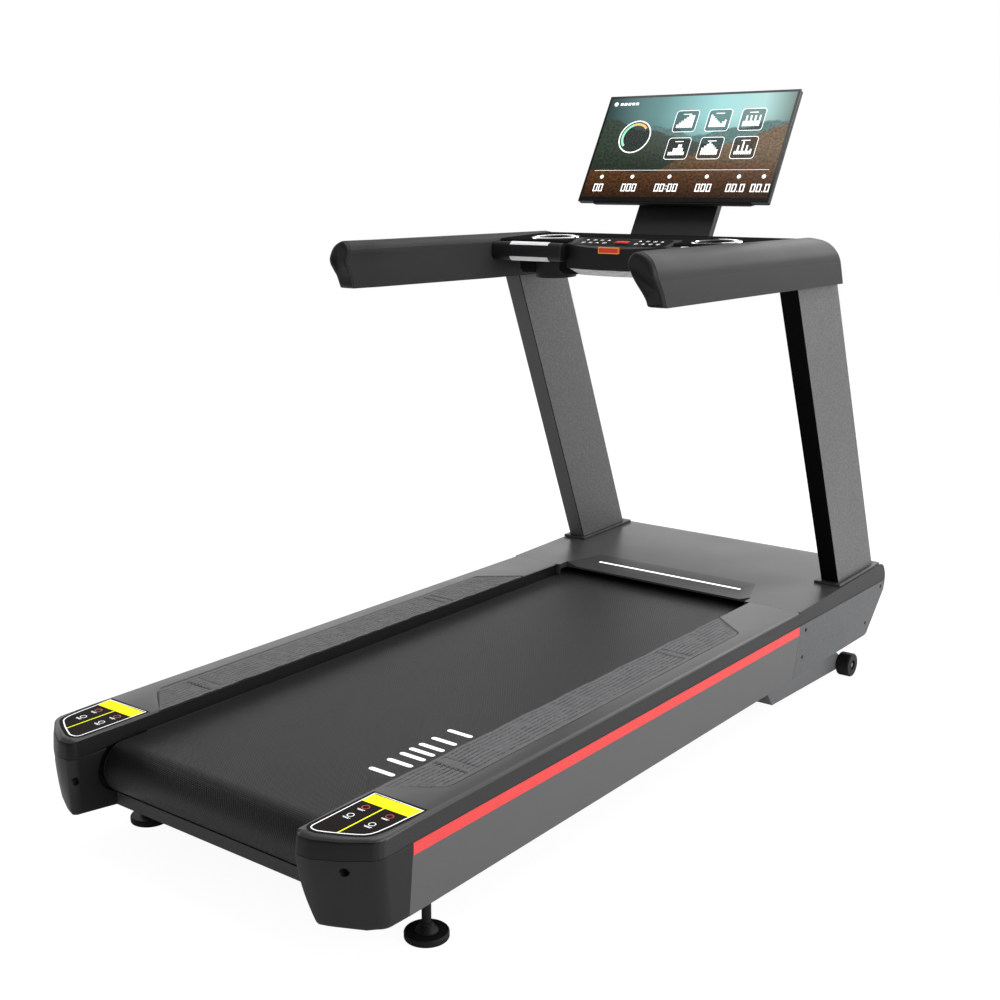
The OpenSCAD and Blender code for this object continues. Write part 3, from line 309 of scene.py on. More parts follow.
M = {
    "rail": powder("rail_powder", (0.107, 0.108, 0.110), 0.42),
    "cover": housing("cover_plastic", grey(0.04, 0.041), 0.34, 0.1, 0.6),
    "hood": housing("hood_plastic", grey(0.051), 0.34, 0.1, 0.6),
    # Darker copy of the hood plastic: painted shade on the slope of the dip
    "hood_dip_painted_shade": housing("hood_dip_shade_plastic", grey(0.033, 0.0335), 0.38, 0.1, 0.5),
    "band": housing("side_band_plastic", grey(0.034, 0.035), 0.5),
    # Darker copies of the side band plastic: painted shade for faces turned away from the right,
    # and the inner, rear and under faces
    "band_painted_shade": housing("side_band_painted_shade", grey(0.024, 0.0245), 0.46),
    "band_deep_painted_shade": housing("side_band_deep_painted_shade", grey(0.014, 0.0145), 0.43),
    "turned_away_painted_shade": housing("turned_away_painted_shade_plastic", grey(0.007, 0.0075), 0.4),
    "boot": moulded("boot_rubber", grey(0.026, 0.0265), 0.4),
    # Darker copy of the pad rubber: painted shade in the pad's grooves
    "groove_painted_shade": rubber("pad_groove_painted_shade", grey(0.018, 0.019)),
    "plate": powder("plate_speckle", (0.102, 0.106, 0.109), 0.5, grain=330.0, mottle=0.3),
    "upright": powder("upright_speckle", grey(0.127, 0.129), 0.5, grain=300.0, mottle=0.42),
    "column": powder("column_black", grey(0.0016), 0.6, spec=0.08),
    "column_grey": powder("column_grey", grey(0.098, 0.099), 0.55, spec=0.3),
    "cap": moulded("cap_plastic", grey(0.0085, 0.009), 0.45, spec=0.4),
    "pad": rubber("pad_rubber", grey(0.122, 0.124), 0.55),
    "arm": moulded("arm_plastic", grey(0.043, 0.044), 0.45, mottle=0.05, spec=0.1),
    "arm_low": moulded("arm_band_plastic", grey(0.032, 0.033), 0.5, mottle=0.05, spec=0.25),
    "soft": rubber("soft_black", grey(0.0075), 0.5, grain=1200.0),
    "black": moulded("black_plastic", grey(0.009, 0.0095), 0.42, spec=0.35),
    "tray": moulded("tray_plastic", grey(0.013, 0.0135), 0.65, spec=0.0),
    "shell": moulded("shell_plastic", grey(0.016, 0.0165), 0.5, spec=0.45),
    "pan": powder("pan_black", grey(0.02, 0.021), 0.5),
    "frame": powder("frame_black", grey(0.03, 0.031), 0.5),
    "lift": powder("lift_speckle", (0.155, 0.158, 0.161), 0.5),
    "motor": powder("motor_black", grey(0.03, 0.032), 0.4, depth=0.0001),
    "stripe": gloss("stripe_coral", (1.0, 0.064, 0.063), 0.45, coat=0.0),
    "chrome": steel("chrome_trim", grey(0.9, 0.91), 0.12),
    "steel": steel("turned_steel", grey(0.5, 0.52), 0.3, (8, 1, 1)),
    "bolt": steel("black_steel", grey(0.05), 0.4),
    "zinc": steel("zinc_steel", grey(0.45, 0.47), 0.35),
    "cast": steel("machined_iron", grey(0.3, 0.31), 0.45),
    "alu": steel("finned_aluminium", grey(0.6, 0.62), 0.35, (1, 1, 10)),
    "tyre": rubber("tyre_rubber", grey(0.0045), 0.55),
    "wood": wood_material(),
    "mesh": mesh_material(),
    "gloss_black": gloss("gloss_black", grey(0.0025), 0.25, coat=0.0, spec=0.02),
    "glass": gloss("screen_glass_black", grey(0.004), 0.1),
    "red": gloss("key_red", (0.75, 0.03, 0.03), 0.25),
    "tag": gloss("tag_red", (0.86, 0.045, 0.042), 0.35, coat=0.0),
    "yellow": gloss("trim_yellow", (0.95, 0.66, 0.02), 0.35),
    # Prints with a painted glow
    "label_yellow": print_with_painted_glow("label_yellow", (0.95, 0.93, 0.01), 0.45),
    "label_black": moulded("label_black", (0.012, 0.009, 0.008), 0.6, spec=0.05, depth=0.00001),
    "white": print_with_painted_glow("white_print", grey(0.95), 0.5),
    # The pale hood strip glows though it is no lamp: painted glow
    "light": glow("strip_painted_glow", grey(1.0), 1.0),
    "belt": belt_material("belt_weave", grey(0.010, 0.0105), 0.40, 0.56, 0.3),
    # Darker copy of the belt: painted shade on its turn over the rear roller
    "belt_roll_painted_shade": belt_material("belt_roll_painted_shade", grey(0.004, 0.0045), 0.30, 0.42, 0.4),
    # Pale colour on the steel pulse plates: painted reflection standing in for their sheen
    "bright": gloss("pulse_plate_painted_sheen", grey(0.88, 0.89), 0.3),
}

# ---- geometry tools


def add_object(name, data):
    ob = bpy.data.objects.new(name, data)
    scene.collection.objects.link(ob)
    return ob


def add_mesh(name, bm):
    me = bpy.data.meshes.new(name)
    bm.to_mesh(me)
    bm.free()
    return add_object(name, me)


def finish_mesh(name, bm, mat, body="frame", angle=32, stands_for=()):
    """A piece on a body, shaded smooth up to an angle in degrees, in place of the nodes it stands
    for.
    """
    bmesh.ops.recalc_face_normals(bm, faces=bm.faces)
    for f in bm.faces:
        f.smooth = True
    for e in bm.edges:
        e.smooth = len(e.link_faces) != 2 or e.calc_face_angle(0.0) < math.radians(angle)
    ob = add_mesh(name, bm)
    for m in mat if isinstance(mat, (list, tuple)) else [mat]:
        ob.data.materials.append(m)
    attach(ob, body)
    if stands_for:
        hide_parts(*stands_for)
    return ob


def bevel(ob, width, segments, angle):
    """Rounds the edges that turn by more than an angle in degrees."""
    mod = ob.modifiers.new("edges", "BEVEL")
    mod.width = width
    mod.segments = segments
    mod.limit_method = "ANGLE"
    mod.angle_limit = math.radians(angle)
    mod.harden_normals = True
    mod.use_clamp_overlap = True


def bake(ob):
    """Applies an object's modifiers to its mesh."""
    deps = bpy.context.evaluated_depsgraph_get()
    deps.update()
    me = bpy.data.meshes.new_from_object(ob.evaluated_get(deps))
    old = ob.data
    ob.modifiers.clear()
    ob.data = me
    bpy.data.meshes.remove(old)


def boolean(ob, operation, *tools):
    """Cuts an object with solids, or to them, and removes the solids."""
    for tool in tools:
        mod = ob.modifiers.new("cut", "BOOLEAN")
        mod.object = tool
        mod.operation = operation
        mod.solver = "EXACT"
    bake(ob)
    for tool in tools:
        bpy.data.objects.remove(tool)


SOFTEN_ANGLE = 28  # a CAD edge sharper than this is rounded


def soften(node, mat, width, segments):
    """A copy of a CAD node whose hard edges are rounded, in place of it."""
    bm = bmesh.new()
    bm.from_mesh(nodes[node].data)
    bmesh.ops.remove_doubles(bm, verts=bm.verts, dist=0.00002)
    bmesh.ops.dissolve_limit(bm, angle_limit=math.radians(0.6), verts=bm.verts, edges=bm.edges)
    for f in bm.faces:
        f.material_index = 0
    ob = finish_mesh(node + "_finish", bm, mat, body_of[node], SOFTEN_ANGLE, (node,))
    if width > 0:
        bevel(ob, width, segments, SOFTEN_ANGLE)
    return ob


def paint(node, mat):
    """A CAD node whose shape is right keeps it and gets a better material."""
    me = nodes[node].data
    me.materials.clear()
    me.materials.append(mat)


def sided(name, side):
    return name + ("_right" if side > 0 else "_left")


def on_top(side, z):
    """Places a plan point of the right side at a height, on either side."""
    return lambda x, y: (x * side, y, z)


def add_ring(bm, points, place=lambda *p: p):
    return [bm.verts.new(place(*p)) for p in points]


def ring_faces(bm, rings, closed=True, index=0):
    """Faces between successive rings of vertices."""
    for a, b in zip(rings, rings[1:]):
        for i in range(len(a) if closed else len(a) - 1):
            j = (i + 1) % len(a)
            bm.faces.new([a[i], a[j], b[j], b[i]]).material_index = index


def cap(bm, ring, index=0):
    bm.faces.new(ring).material_index = index


def tube(bm, rings):
    """A solid through closed rings."""
    ring_faces(bm, rings)
    cap(bm, rings[0])
    cap(bm, rings[-1])


def half_tube(bm, rings):
    """A solid through rings that are open to the front, flat there."""
    ring_faces(bm, rings, closed=False)
    cap(bm, rings[-1])
    cap(bm, rings[0])
    cap(bm, [ring[0] for ring in rings] + [ring[-1] for ring in reversed(rings)])


def patch(bm, place, points, index=0):
    cap(bm, add_ring(bm, points, place), index)


def outline_band(bm, place, outer, inner, index=0):
    """Flat band between two outlines with as many points."""
    ring_faces(bm, [add_ring(bm, outer, place), add_ring(bm, inner, place)], index=index)


def uv_quad(bm, verts, uvs):
    layer = bm.loops.layers.uv.verify()
    for loop, uv in zip(bm.faces.new(verts).loops, uvs):
        loop[layer].uv = uv


def solid(rings):
    """A solid through closed rings of points, to cut other objects with."""
    bm = bmesh.new()
    tube(bm, [add_ring(bm, ring) for ring in rings])
    bmesh.ops.recalc_face_normals(bm, faces=bm.faces)
    return add_mesh("tool", bm)


def rod(start, axis, radius, length):
    """A round solid, to cut other objects with."""
    u = axis.orthogonal().normalized()
    v = axis.cross(u)
    ends = [start + axis * d for d in (0.0, length)]
    return solid([[c + u * x + v * y for x, y in circle(0, 0, radius, 48)] for c in ends])


def outline_normals(points, closed=True):
    """Outward unit normals of a counter-clockwise plan; an open one ends on the side walls."""
    out = []
    for a, b in zip(points[-1:] + points[:-1], points[1:] + points[:1]):
        t = Vector((b[0] - a[0], b[1] - a[1])).normalized()
        out.append(Vector((t.y, -t.x)))
    if not closed:
        out[0], out[-1] = Vector((-1, 0)), Vector((1, 0))
    return out


def grown(points, by):
    """A closed plan outline moved outwards."""
    return [(x + n.x * by, y + n.y * by) for (x, y), n in zip(points, outline_normals(points))]


def arc(cx, cy, r, a0, a1, n):
    """Points on an arc between two angles in degrees, in n steps."""
    turns = [math.radians(a0 + (a1 - a0) * i / n) for i in range(n + 1)]
    return [(cx + r * math.cos(a), cy + r * math.sin(a)) for a in turns]


def circle(cx, cy, r, n, squash=1.0):
    turns = [2 * math.pi * i / n for i in range(n)]
    return [(cx + r * math.cos(a), cy + r * math.sin(a) / squash) for a in turns]


def rectangle(x0, y0, x1, y1):
    return [(x0, y0), (x1, y0), (x1, y1), (x0, y1)]


def rounded(cx, cy, hw, hh, r, n=4):
    """A rectangle with rounded corners, from its centre and half sizes."""
    return (
        arc(cx + hw - r, cy - hh + r, r, -90, 0, n) + arc(cx + hw - r, cy + hh - r, r, 0, 90, n)
        + arc(cx - hw + r, cy + hh - r, r, 90, 180, n)
        + arc(cx - hw + r, cy - hh + r, r, 180, 270, n)
    )


def spline(points, steps):
    """Points on a Catmull-Rom curve through the given points."""
    out = []
    padded = [points[0], *points, points[-1]]
    for around in zip(padded, padded[1:], padded[2:], padded[3:]):
        for k in range(steps):
            t = k / steps
            out.append(tuple(
                0.5 * (2 * b + (c - a) * t + (2 * a - 5 * b + 4 * c - d) * t * t
                       + (3 * b - a - 3 * c + d) * t * t * t)
                for a, b, c, d in zip(*around)
            ))
    return out + [tuple(points[-1])]


# ---- side covers

COVER_LOW, COVER_HIGH = box("rail_cover_right")
RAIL_TOP, TOP = COVER_LOW.z, COVER_HIGH.z
IN_X, OUT_X = COVER_LOW.x, COVER_HIGH.x
REAR_Y, SEAM_Y = COVER_LOW.y, COVER_HIGH.y
CAP_Y = box("accent_stripes")[0].y
PAD_LOW, PAD_HIGH = box("tread_pads")

EDGE_R = 0.0075  # rounding of a cover's top edge
NOSE_LEAN = 0.0045  # how far the rear end leans in at the top
QUARTER = [math.radians(a) for a in range(0, 91, 15)]


def nose_plan(out_x):
    """Plan of the rear end from the inner side, round the nose, to the outer side."""
    return (
        arc(IN_X + 0.020, REAR_Y + 0.020, 0.020, 180, 262, 14)
        + [(IN_X + 0.034, REAR_Y + 0.0004), (IN_X + 0.046, REAR_Y + 0.0016)]
        + [(IN_X + 0.093, REAR_Y + 0.026)]
        + arc(out_x - 0.034, REAR_Y + 0.084, 0.034, -62, 0, 18)
    )


def pad_outline(grow):
    """Plan of a tread pad on the right side; its inner side is open to the belt."""
    x0, x1 = IN_X - 0.01, PAD_HIGH.x
    y0, y1 = PAD_LOW.y, PAD_HIGH.y
    return grown([
        (x0, y0 - 0.006), (x1 - 0.010, y0 + 0.072), (x1 - 0.003, y0 + 0.080), (x1, y0 + 0.092),
        (x1, y1 - 0.095), (x1 - 0.001, y1 - 0.086), (x1 - 0.006, y1 - 0.076),
        (IN_X + 0.002, y1), (x0, y1 + 0.004),
    ], grow)


def cover_piece():
    """Cover of the right rail: rounded top edge, leaning rear end, pocket for the pad."""
    join_y = CAP_Y + 0.01
    plan = [(IN_X, SEAM_Y), (IN_X, join_y)] + nose_plan(OUT_X) + [(OUT_X, join_y), (OUT_X, SEAM_Y)]
    normals = outline_normals(plan, closed=False)
    deck_z = box("deck_board")[1].z + 0.0005
    # How far each layer lies under the top, or None for the foot, and how far in
    layers = [(None, 0.0)]
    layers += [(EDGE_R * (1 - math.sin(a)), EDGE_R * (1 - math.cos(a))) for a in QUARTER]
    bm = bmesh.new()
    rings = []
    for down, inset in layers:
        ring = []
        for (x, y), normal in zip(plan, normals):
            inner = x < IN_X + 0.003
            k = 0.5 if inner else (1.5 if y < CAP_Y - 0.02 else 1.0)
            if down is not None:
                z = TOP - down * k
            else:
                z = deck_z if inner and y > CAP_Y - 0.05 else RAIL_TOP
            lean = NOSE_LEAN * ease(REAR_Y + 0.055, REAR_Y + 0.004, y)
            by = inset * k + lean * (z - RAIL_TOP) / (TOP - RAIL_TOP)
            ring.append((x - normal.x * by, y - normal.y * by, z))
        rings.append(add_ring(bm, ring))
    half_tube(bm, rings)
    name = "rail_cover_right"
    ob = finish_mesh(name + "_finish", bm, M["cover"], angle=40)
    boolean(ob, "DIFFERENCE", solid([
        [(x, y, TOP + lift) for x, y in pad_outline(grow)]
        for grow, lift in ((0.0, -0.0030), (0.0035, 0.0010))
    ]))
    for key in ("band", "turned_away_painted_shade", "band_painted_shade", "band_deep_painted_shade"):
        ob.data.materials.append(M[key])
    band, dark, shade_index, deep_shade_index = range(1, 5)
    # Painted shade: side faces get darker as they turn from the right towards the rear; inner, rear
    # and under faces are darkest
    for p in ob.data.polygons:
        low = p.center.z < TOP - 0.006
        if low and p.normal.x > 0.9:
            p.material_index = band if p.normal.x > 0.985 else shade_index
        elif low and abs(p.normal.z) < 0.5:
            p.material_index = deep_shade_index if p.normal.x > 0.72 else dark
        elif p.normal.z < -0.5:
            p.material_index = dark
    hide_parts(name)
    return ob


def mirrored(ob, node):
    """The same piece on the other side of the machine, in place of a node."""
    bm = bmesh.new()
    bm.from_mesh(ob.data)
    for v in bm.verts:
        v.co.x = -v.co.x
    bmesh.ops.reverse_faces(bm, faces=bm.faces)
    other = finish_mesh(node + "_finish", bm, list(ob.data.materials), angle=40)
    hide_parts(node)


PAD_ROWS, PAD_COLUMNS = 420, 100
RIB_PITCH = 0.0108
PAD_FOOT = -0.0029  # the pad's lowest level under the cover's top


def pad_width(y):
    """Inner and outer edge of the pad at a place along it."""
    points = pad_outline(-0.0012)
    xs = [
        xa + (xb - xa) * (y - ya) / (yb - ya)
        for (xa, ya), (xb, yb) in zip(points, points[1:] + points[:1])
        if (ya - y) * (yb - y) <= 0 and abs(ya - yb) > 1e-9
    ]
    inner = IN_X + 0.0008
    return inner, max([*xs, inner + 0.0012])


def pad_piece(side):
    """Ribbed rubber strip with a plain outer edge and two cross bars."""
    bm = bmesh.new()
    y0, y1 = PAD_LOW.y + 0.001, PAD_HIGH.y - 0.004
    ribs_to = IN_X + 0.091
    bars = [(REAR_Y + 0.380, 0.018), (y1 - 0.300, 0.016)]  # place and half width

    def wave(y, size, length):
        return size * math.sin((y - y0) * 2 * math.pi / length)

    rows = []
    for i in range(PAD_ROWS + 1):
        y = y0 + (y1 - y0) * i / PAD_ROWS
        a, b = pad_width(y)
        sway = wave(y, 0.0012, 0.19) + wave(y, 0.0006, 0.071)
        row = []
        for k in range(PAD_COLUMNS + 1):
            x = a + (b - a) * k / PAD_COLUMNS
            phase = ((x - IN_X + sway) / RIB_PITCH) % 1.0
            rib = min(1.0, abs(math.sin(math.pi * phase)) * 1.5) if x < ribs_to else 0.75
            z = TOP - 0.0026 + 0.0023 * rib
            for bar_y, half in bars:
                d = abs(y - bar_y)
                if a + 0.008 < x < b - 0.010 and d < half:
                    z = TOP - 0.0024 if d > half - 0.0045 else min(z + 0.0004, TOP - 0.0003)
            edge = min(b - x, (y - y0) * 0.7, (y1 - y) * 0.7)
            z = TOP + PAD_FOOT + (z - TOP - PAD_FOOT) * min(1.0, max(0.0, edge / 0.002))
            row.append((x * side, y, z))
        rows.append(add_ring(bm, row))
    ring_faces(bm, rows, closed=False)
    # Painted shade: the faces low in the grooves get a much darker rubber
    for f in bm.faces:
        f.material_index = 1 if f.calc_center_median().z < TOP - 0.0017 else 0
    mats = [M["pad"], M["groove_painted_shade"]]
    return finish_mesh(sided("tread_pad", side), bm, mats, angle=70)


LABEL_LENGTH = 0.200
LABEL_BAND = 0.040  # the yellow band at the label's front
LABEL_PLAN = [
    (0.0102, LABEL_LENGTH), (0.0102, 0.0400), (0.0130, 0.0300), (0.0200, 0.0240),
    (0.0300, 0.0216), (0.0393, 0.0224), (0.0560, 0.0290), (0.0832, 0.0420), (0.1030, 0.0530),
    (0.1150, 0.0610), (0.1230, 0.0720), (0.1275, 0.0860), (0.1310, 0.1150), (0.1325, 0.1500),
    (0.1330, LABEL_LENGTH),
]  # straight inner side, slanted rear, rounded corners


def label_plan(grow):
    return grown([(IN_X + x, REAR_Y + y) for x, y in LABEL_PLAN], grow)


def clip_y(points, y_from, y_to):
    """The part of a convex plan between two places along the machine."""
    def cut(pts, keep, at):
        out = []
        for p, q in zip(pts, pts[1:] + pts[:1]):
            if keep(p[1]):
                out.append(p)
            if keep(p[1]) != keep(q[1]):
                t = (at - p[1]) / (q[1] - p[1])
                out.append((p[0] + (q[0] - p[0]) * t, at))
        return out
    pts = cut(points, lambda y: y >= y_from, y_from)
    return cut(pts, lambda y: y <= y_to, y_to)


def label_piece(side):
    """Generic plate: black, white border line, yellow front band, divider and plain marks."""
    bm = bmesh.new()
    plate = label_plan(0.0022)
    rings = [add_ring(bm, plate, on_top(side, TOP + lift)) for lift in (0.0002, -0.0004)]
    ring_faces(bm, rings)
    cap(bm, rings[0])
    print_on = on_top(side, TOP + 0.00032)
    white, yellow, red = 1, 2, 3
    outline_band(bm, print_on, label_plan(-0.0050), label_plan(-0.0076), white)
    y1 = REAR_Y + LABEL_LENGTH
    band_y = y1 - LABEL_BAND
    patch(bm, print_on, clip_y(label_plan(-0.0077), band_y, y1 - 0.0078), yellow)
    left, right = IN_X + 0.070 - 0.0015, IN_X + 0.070 + 0.0015
    divider = [(left, REAR_Y + 0.0425), (right, REAR_Y + 0.0440), (right, band_y), (left, band_y)]
    patch(bm, print_on, divider, yellow)
    # A ring and two short lines in each of the four fields
    for x, y, r, index in ((0.041, 0.056, 0.0078, red), (0.099, 0.058, 0.0078, red),
                           (0.041, 0.094, 0.0070, white), (0.095, 0.098, 0.0070, white)):
        cx, cy = IN_X + x, y1 - y
        outer, inner = [circle(cx, cy, radius, 24) for radius in (r, r - 0.0016)]
        outline_band(bm, print_on, outer, inner, index)
        for k in range(2):
            w, h = 0.0085 - 0.002 * k, 0.0007
            yy = cy - r - 0.0035 - 0.0026 * k
            patch(bm, print_on, rectangle(cx - w, yy - h, cx + w, yy + h), white)
    for f in bm.faces:
        f.normal_update()
    mats = [M["label_black"], M["white"], M["label_yellow"], M["red"]]
    return finish_mesh(sided("label_plate", side), bm, mats)


CAP_REACH = 0.006  # how far an end cap reaches below its CAD form
DRAW_IN = 1.7  # how late the walls draw in on their way down


def cap_piece(side):
    """Moulded rear end cap: the inner and rear walls draw in towards a rounded foot."""
    name = sided("end_cap", side)
    low, high = box(name)
    out_x = max(abs(low.x), abs(high.x))
    z1, z0 = high.z, low.z - CAP_REACH
    head = nose_plan(out_x)
    foot = (
        arc(IN_X + 0.047, REAR_Y + 0.038, 0.018, 180, 250, 14)
        + [(IN_X + 0.056, REAR_Y + 0.0262), (IN_X + 0.070, REAR_Y + 0.0320)]
        + [(IN_X + 0.120, REAR_Y + 0.0560)]
        + arc(out_x - 0.032, REAR_Y + 0.096, 0.032, -54, 0, 18)
    )
    normals = outline_normals(head, closed=False)
    foot_r = 0.010
    # Height of each ring and how far it lies in
    levels = [(z1 - 0.0001, 0.0012), (z1 - 0.0010, 0.0)]
    levels += [(z1 - (z1 - z0 - foot_r) * f, 0.0)
               for f in (0.12, 0.24, 0.36, 0.48, 0.6, 0.72, 0.84, 0.93)]
    levels += [(z0 + foot_r * (1 - math.sin(a)), 0.009 * (1 - math.cos(a))) for a in QUARTER]
    bm = bmesh.new()
    rings = []
    for z, inset in levels:
        s = ((z1 - z) / (z1 - z0)) ** DRAW_IN
        join = CAP_Y - 0.014 * (z1 - z) / (z1 - z0)
        rings.append(add_ring(bm, [
            (IN_X + 0.004 * s + inset * 0.6, join),
            *[(hx + (fx - hx) * s - n.x * inset, hy + (fy - hy) * s - n.y * inset)
              for (hx, hy), (fx, fy), n in zip(head, foot, normals)],
            (out_x - inset * 0.6, join),
        ], on_top(side, z)))
    half_tube(bm, rings)
    ob = finish_mesh(name + "_finish", bm, M["cap"], angle=40)
    belt_low, belt_high = box("running_belt")
    thick = belt_high.z - belt_low.z
    outwards = Vector((side, 0, 0))
    slot_x = IN_X - 0.01

    def across(x, y, z, radius, length):
        return rod(Vector((side * x, y, z)), outwards, radius, length)

    boolean(
        ob, "DIFFERENCE",
        # Arch over the roller, then the bolt hole and the service slot
        across(IN_X - 0.02, belt_low.y + thick / 2, (belt_low.z + belt_high.z) / 2,
               thick / 2 + 0.0045, 0.036),
        rod(Vector((side * (IN_X + 0.0965), REAR_Y - 0.01, RAIL_TOP - 0.0205)),
            Vector((0, 1, 0)), 0.0078, 0.062),
        across(slot_x, REAR_Y + 0.0125, RAIL_TOP - 0.0445, 0.0055, 0.026),
        across(slot_x, REAR_Y + 0.0150, RAIL_TOP - 0.0520, 0.0055, 0.026),
    )
    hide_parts(name)


mirrored(cover_piece(), "rail_cover_left")
for side in (1, -1):
    pad, label = pad_piece(side), label_piece(side)
    cap_piece(side)
    if side > 0:
        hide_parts("tread_pads")
        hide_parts("label_plates")

# ---- belt


def belt_piece():
    """Closed belt with its own UV in metres; painted shade makes it darker where it turns over the
    rear roller.
    """
    low, high = box("running_belt")
    r = (high.z - low.z) / 2
    cz = (high.z + low.z) / 2
    rear_y, front_y = low.y + r, high.y - r
    thick = 0.0025
    steps = 32
    path = []
    for y, start in ((rear_y, 270), (front_y, 90)):
        for i in range(steps + 1):
            a = math.radians(start - 180 * i / steps)
            path.append((y + r * math.cos(a), cz + r * math.sin(a)))

    def inward(y, z):
        d = Vector((y - min(max(y, rear_y), front_y), z - cz)).normalized()
        return y - d.x * thick, z - d.y * thick

    bm = bmesh.new()
    bm.loops.layers.uv.new("UVMap")
    xs = [high.x * part for part in (-1, -0.5, 0, 0.5, 1)]
    run = [0.0]
    for a, b in zip(path, path[1:] + path[:1]):
        run.append(run[-1] + math.dist(a, b))
    outer = [[bm.verts.new((x, *p)) for x in xs] for p in path]
    inner = [[bm.verts.new((x, *inward(*p))) for x in xs] for p in path]
    for i in range(len(path)):
        j = (i + 1) % len(path)
        s0, s1 = run[i], run[i + 1]
        for k in range(len(xs) - 1):
            u0, u1 = xs[k], xs[k + 1]
            uv_quad(bm, [outer[i][k], outer[i][k + 1], outer[j][k + 1], outer[j][k]],
                    rectangle(u0, s0, u1, s1))
            uv_quad(bm, [inner[i][k], inner[j][k], inner[j][k + 1], inner[i][k + 1]],
                    [(u0, s0), (u0, s1), (u1, s1), (u1, s0)])
        for k in (0, -1):
            uv_quad(bm, [outer[i][k], outer[j][k], inner[j][k], inner[i][k]], [(xs[k], s0)] * 4)
    # Painted shade: the turn over the rear roller gets a darker copy of the belt
    for f in bm.faces:
        if f.calc_center_median().y < rear_y - r * 0.45:
            f.material_index = 1
    finish_mesh(
        "belt_weave", bm, [M["belt"], M["belt_roll_painted_shade"]], angle=50,
        stands_for=("running_belt",)
    )


def dash_piece():
    """Rounded white dashes printed on the right of the belt, closer in the middle."""
    high = box("running_belt")[1]
    x0, x1, r = high.x - 0.107, high.x - 0.043, 0.0062
    bm = bmesh.new()
    for d in (0.172, 0.2235, 0.2605, 0.2885, 0.3175, 0.356, 0.406):
        y = CAP_Y + d
        dash = arc(x1 - r, y, r, -90, 90, 8) + arc(x0 + r, y, r, 90, 270, 8)
        patch(bm, on_top(1, high.z + 0.0002), dash)
    finish_mesh("belt_dashes", bm, M["white"])


belt_piece()
dash_piece()

# ---- handrails

ARM_LOW, ARM_HIGH = box("handrail_right")
ARM_Z, ARM_TOP = ARM_LOW.z, ARM_HIGH.z
ARM_REAR, ARM_FRONT = ARM_LOW.y, ARM_HIGH.y
SIDE_X = ARM_HIGH.x
BAR_Y = box("pulse_bars")[0].y
CREASE = 0.056
FOOT_REAR, FOOT_FRONT = 0.046, 0.079
REAR_WIDTH = 0.84  # the section's width at the rear end, of its full width
ARM_STEPS, FRONT_STEPS = 24, 10


def arm_outline(foot):
    """Section of a handrail as inset from its outer face and height above its foot."""
    crown = [(0, 0.056), (-0.003, 0.073), (-0.010, 0.088), (-0.020, 0.100), (-0.035, 0.109),
             (-0.050, 0.113), (-0.062, 0.112), (-0.074, 0.103), (-0.079, 0.093)]
    channel = [(-0.079 + (0.079 - foot) * f, z) for f, z in (
        (0.0, 0.093), (0.08, 0.085), (0.26, 0.076), (0.44, 0.062), (0.64, 0.040), (0.85, 0.017),
        (1.0, 0.0))]
    return [(0, 0), (0, 0.028)] + spline(crown, 4)[:-1] + spline(channel, 4)


def end_slant(z):
    """How far the rear edge of the shell runs on to the rear at a height above its foot."""
    return -0.014 - 0.036 * ease(0.0, 0.075, z)


def arm_ring(bm, y, foot, side, scale=1.0, shift=0.0, slant=0.0, narrow=1.0):
    """A ring of the section, which scale draws in towards the middle of the arm."""
    cx, cz = -0.036, 0.060
    return add_ring(bm, arm_outline(foot), lambda x, z: (
        side * (SIDE_X + cx + (x * narrow - cx) * scale + shift),
        y + slant * end_slant(z),
        ARM_Z + cz + (z - cz) * scale,
    ))


def foot_at(y):
    t = (y - ARM_REAR) / (BAR_Y - ARM_REAR)
    return FOOT_REAR + (FOOT_FRONT - FOOT_REAR) * min(1.0, max(0.0, t))


def handrail_piece(side):
    """Handrail shell, cut to its slanted front, and the soft rounded end of its grip."""
    name = sided("handrail", side)
    bm = bmesh.new()
    rings = []
    for i in range(ARM_STEPS + 1):
        f = i / ARM_STEPS
        y = ARM_REAR + (BAR_Y - ARM_REAR) * f
        narrow = REAR_WIDTH + (1 - REAR_WIDTH) * ease(0.0, 0.07, y - ARM_REAR)
        rings.append(arm_ring(bm, y, foot_at(y), side, slant=(1 - f) ** 6, narrow=narrow))
    for i in range(1, FRONT_STEPS + 1):
        y = BAR_Y + (ARM_FRONT + 0.01 - BAR_Y) * i / FRONT_STEPS
        rings.append(arm_ring(bm, y, FOOT_FRONT, side))
    tube(bm, rings)
    ob = finish_mesh(name + "_finish", bm, [M["arm"], M["arm_low"]], angle=24)
    rear, front = ARM_REAR - 0.06, ARM_FRONT
    slope = spline([(front, ARM_Z), (front - 0.021, ARM_Z + 0.056), (front - 0.039, ARM_Z + 0.088),
                    (front - 0.057, ARM_Z + 0.105), (front - 0.084, ARM_TOP - 0.0005)], 5)
    outline = [
        (rear, ARM_Z - 0.01), (front + 0.003, ARM_Z - 0.01), *slope,
        (front - 0.10, ARM_TOP + 0.01), (rear, ARM_TOP + 0.01),
    ]
    boolean(ob, "INTERSECT", solid([
        [(side * x, y, z) for y, z in outline] for x in (SIDE_X - 0.10, SIDE_X + 0.02)
    ]))
    for p in ob.data.polygons:
        low = p.center.z < ARM_Z + CREASE - 0.001
        p.material_index = 1 if low and p.normal.x * side > 0.8 else 0
    bevel(ob, 0.003, 3, 34)
    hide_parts(name)

    bm = bmesh.new()
    depth = 0.013
    tube(bm, [
        arm_ring(bm, ARM_REAR - depth * t + 0.0002, FOOT_REAR, side, s, -0.002 * t, 1.0, REAR_WIDTH)
        for t, s in ((0, 1.0), (0.001, 0.985), (0.35, 0.98), (0.6, 0.96), (0.78, 0.925),
                     (0.9, 0.87), (0.97, 0.80), (1.0, 0.70))
    ])
    end = finish_mesh(sided("grip_end", side), bm, M["soft"], angle=40)
    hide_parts("grip_ends")


for side in (1, -1):
    handrail_piece(side)

# ---- softened CAD forms

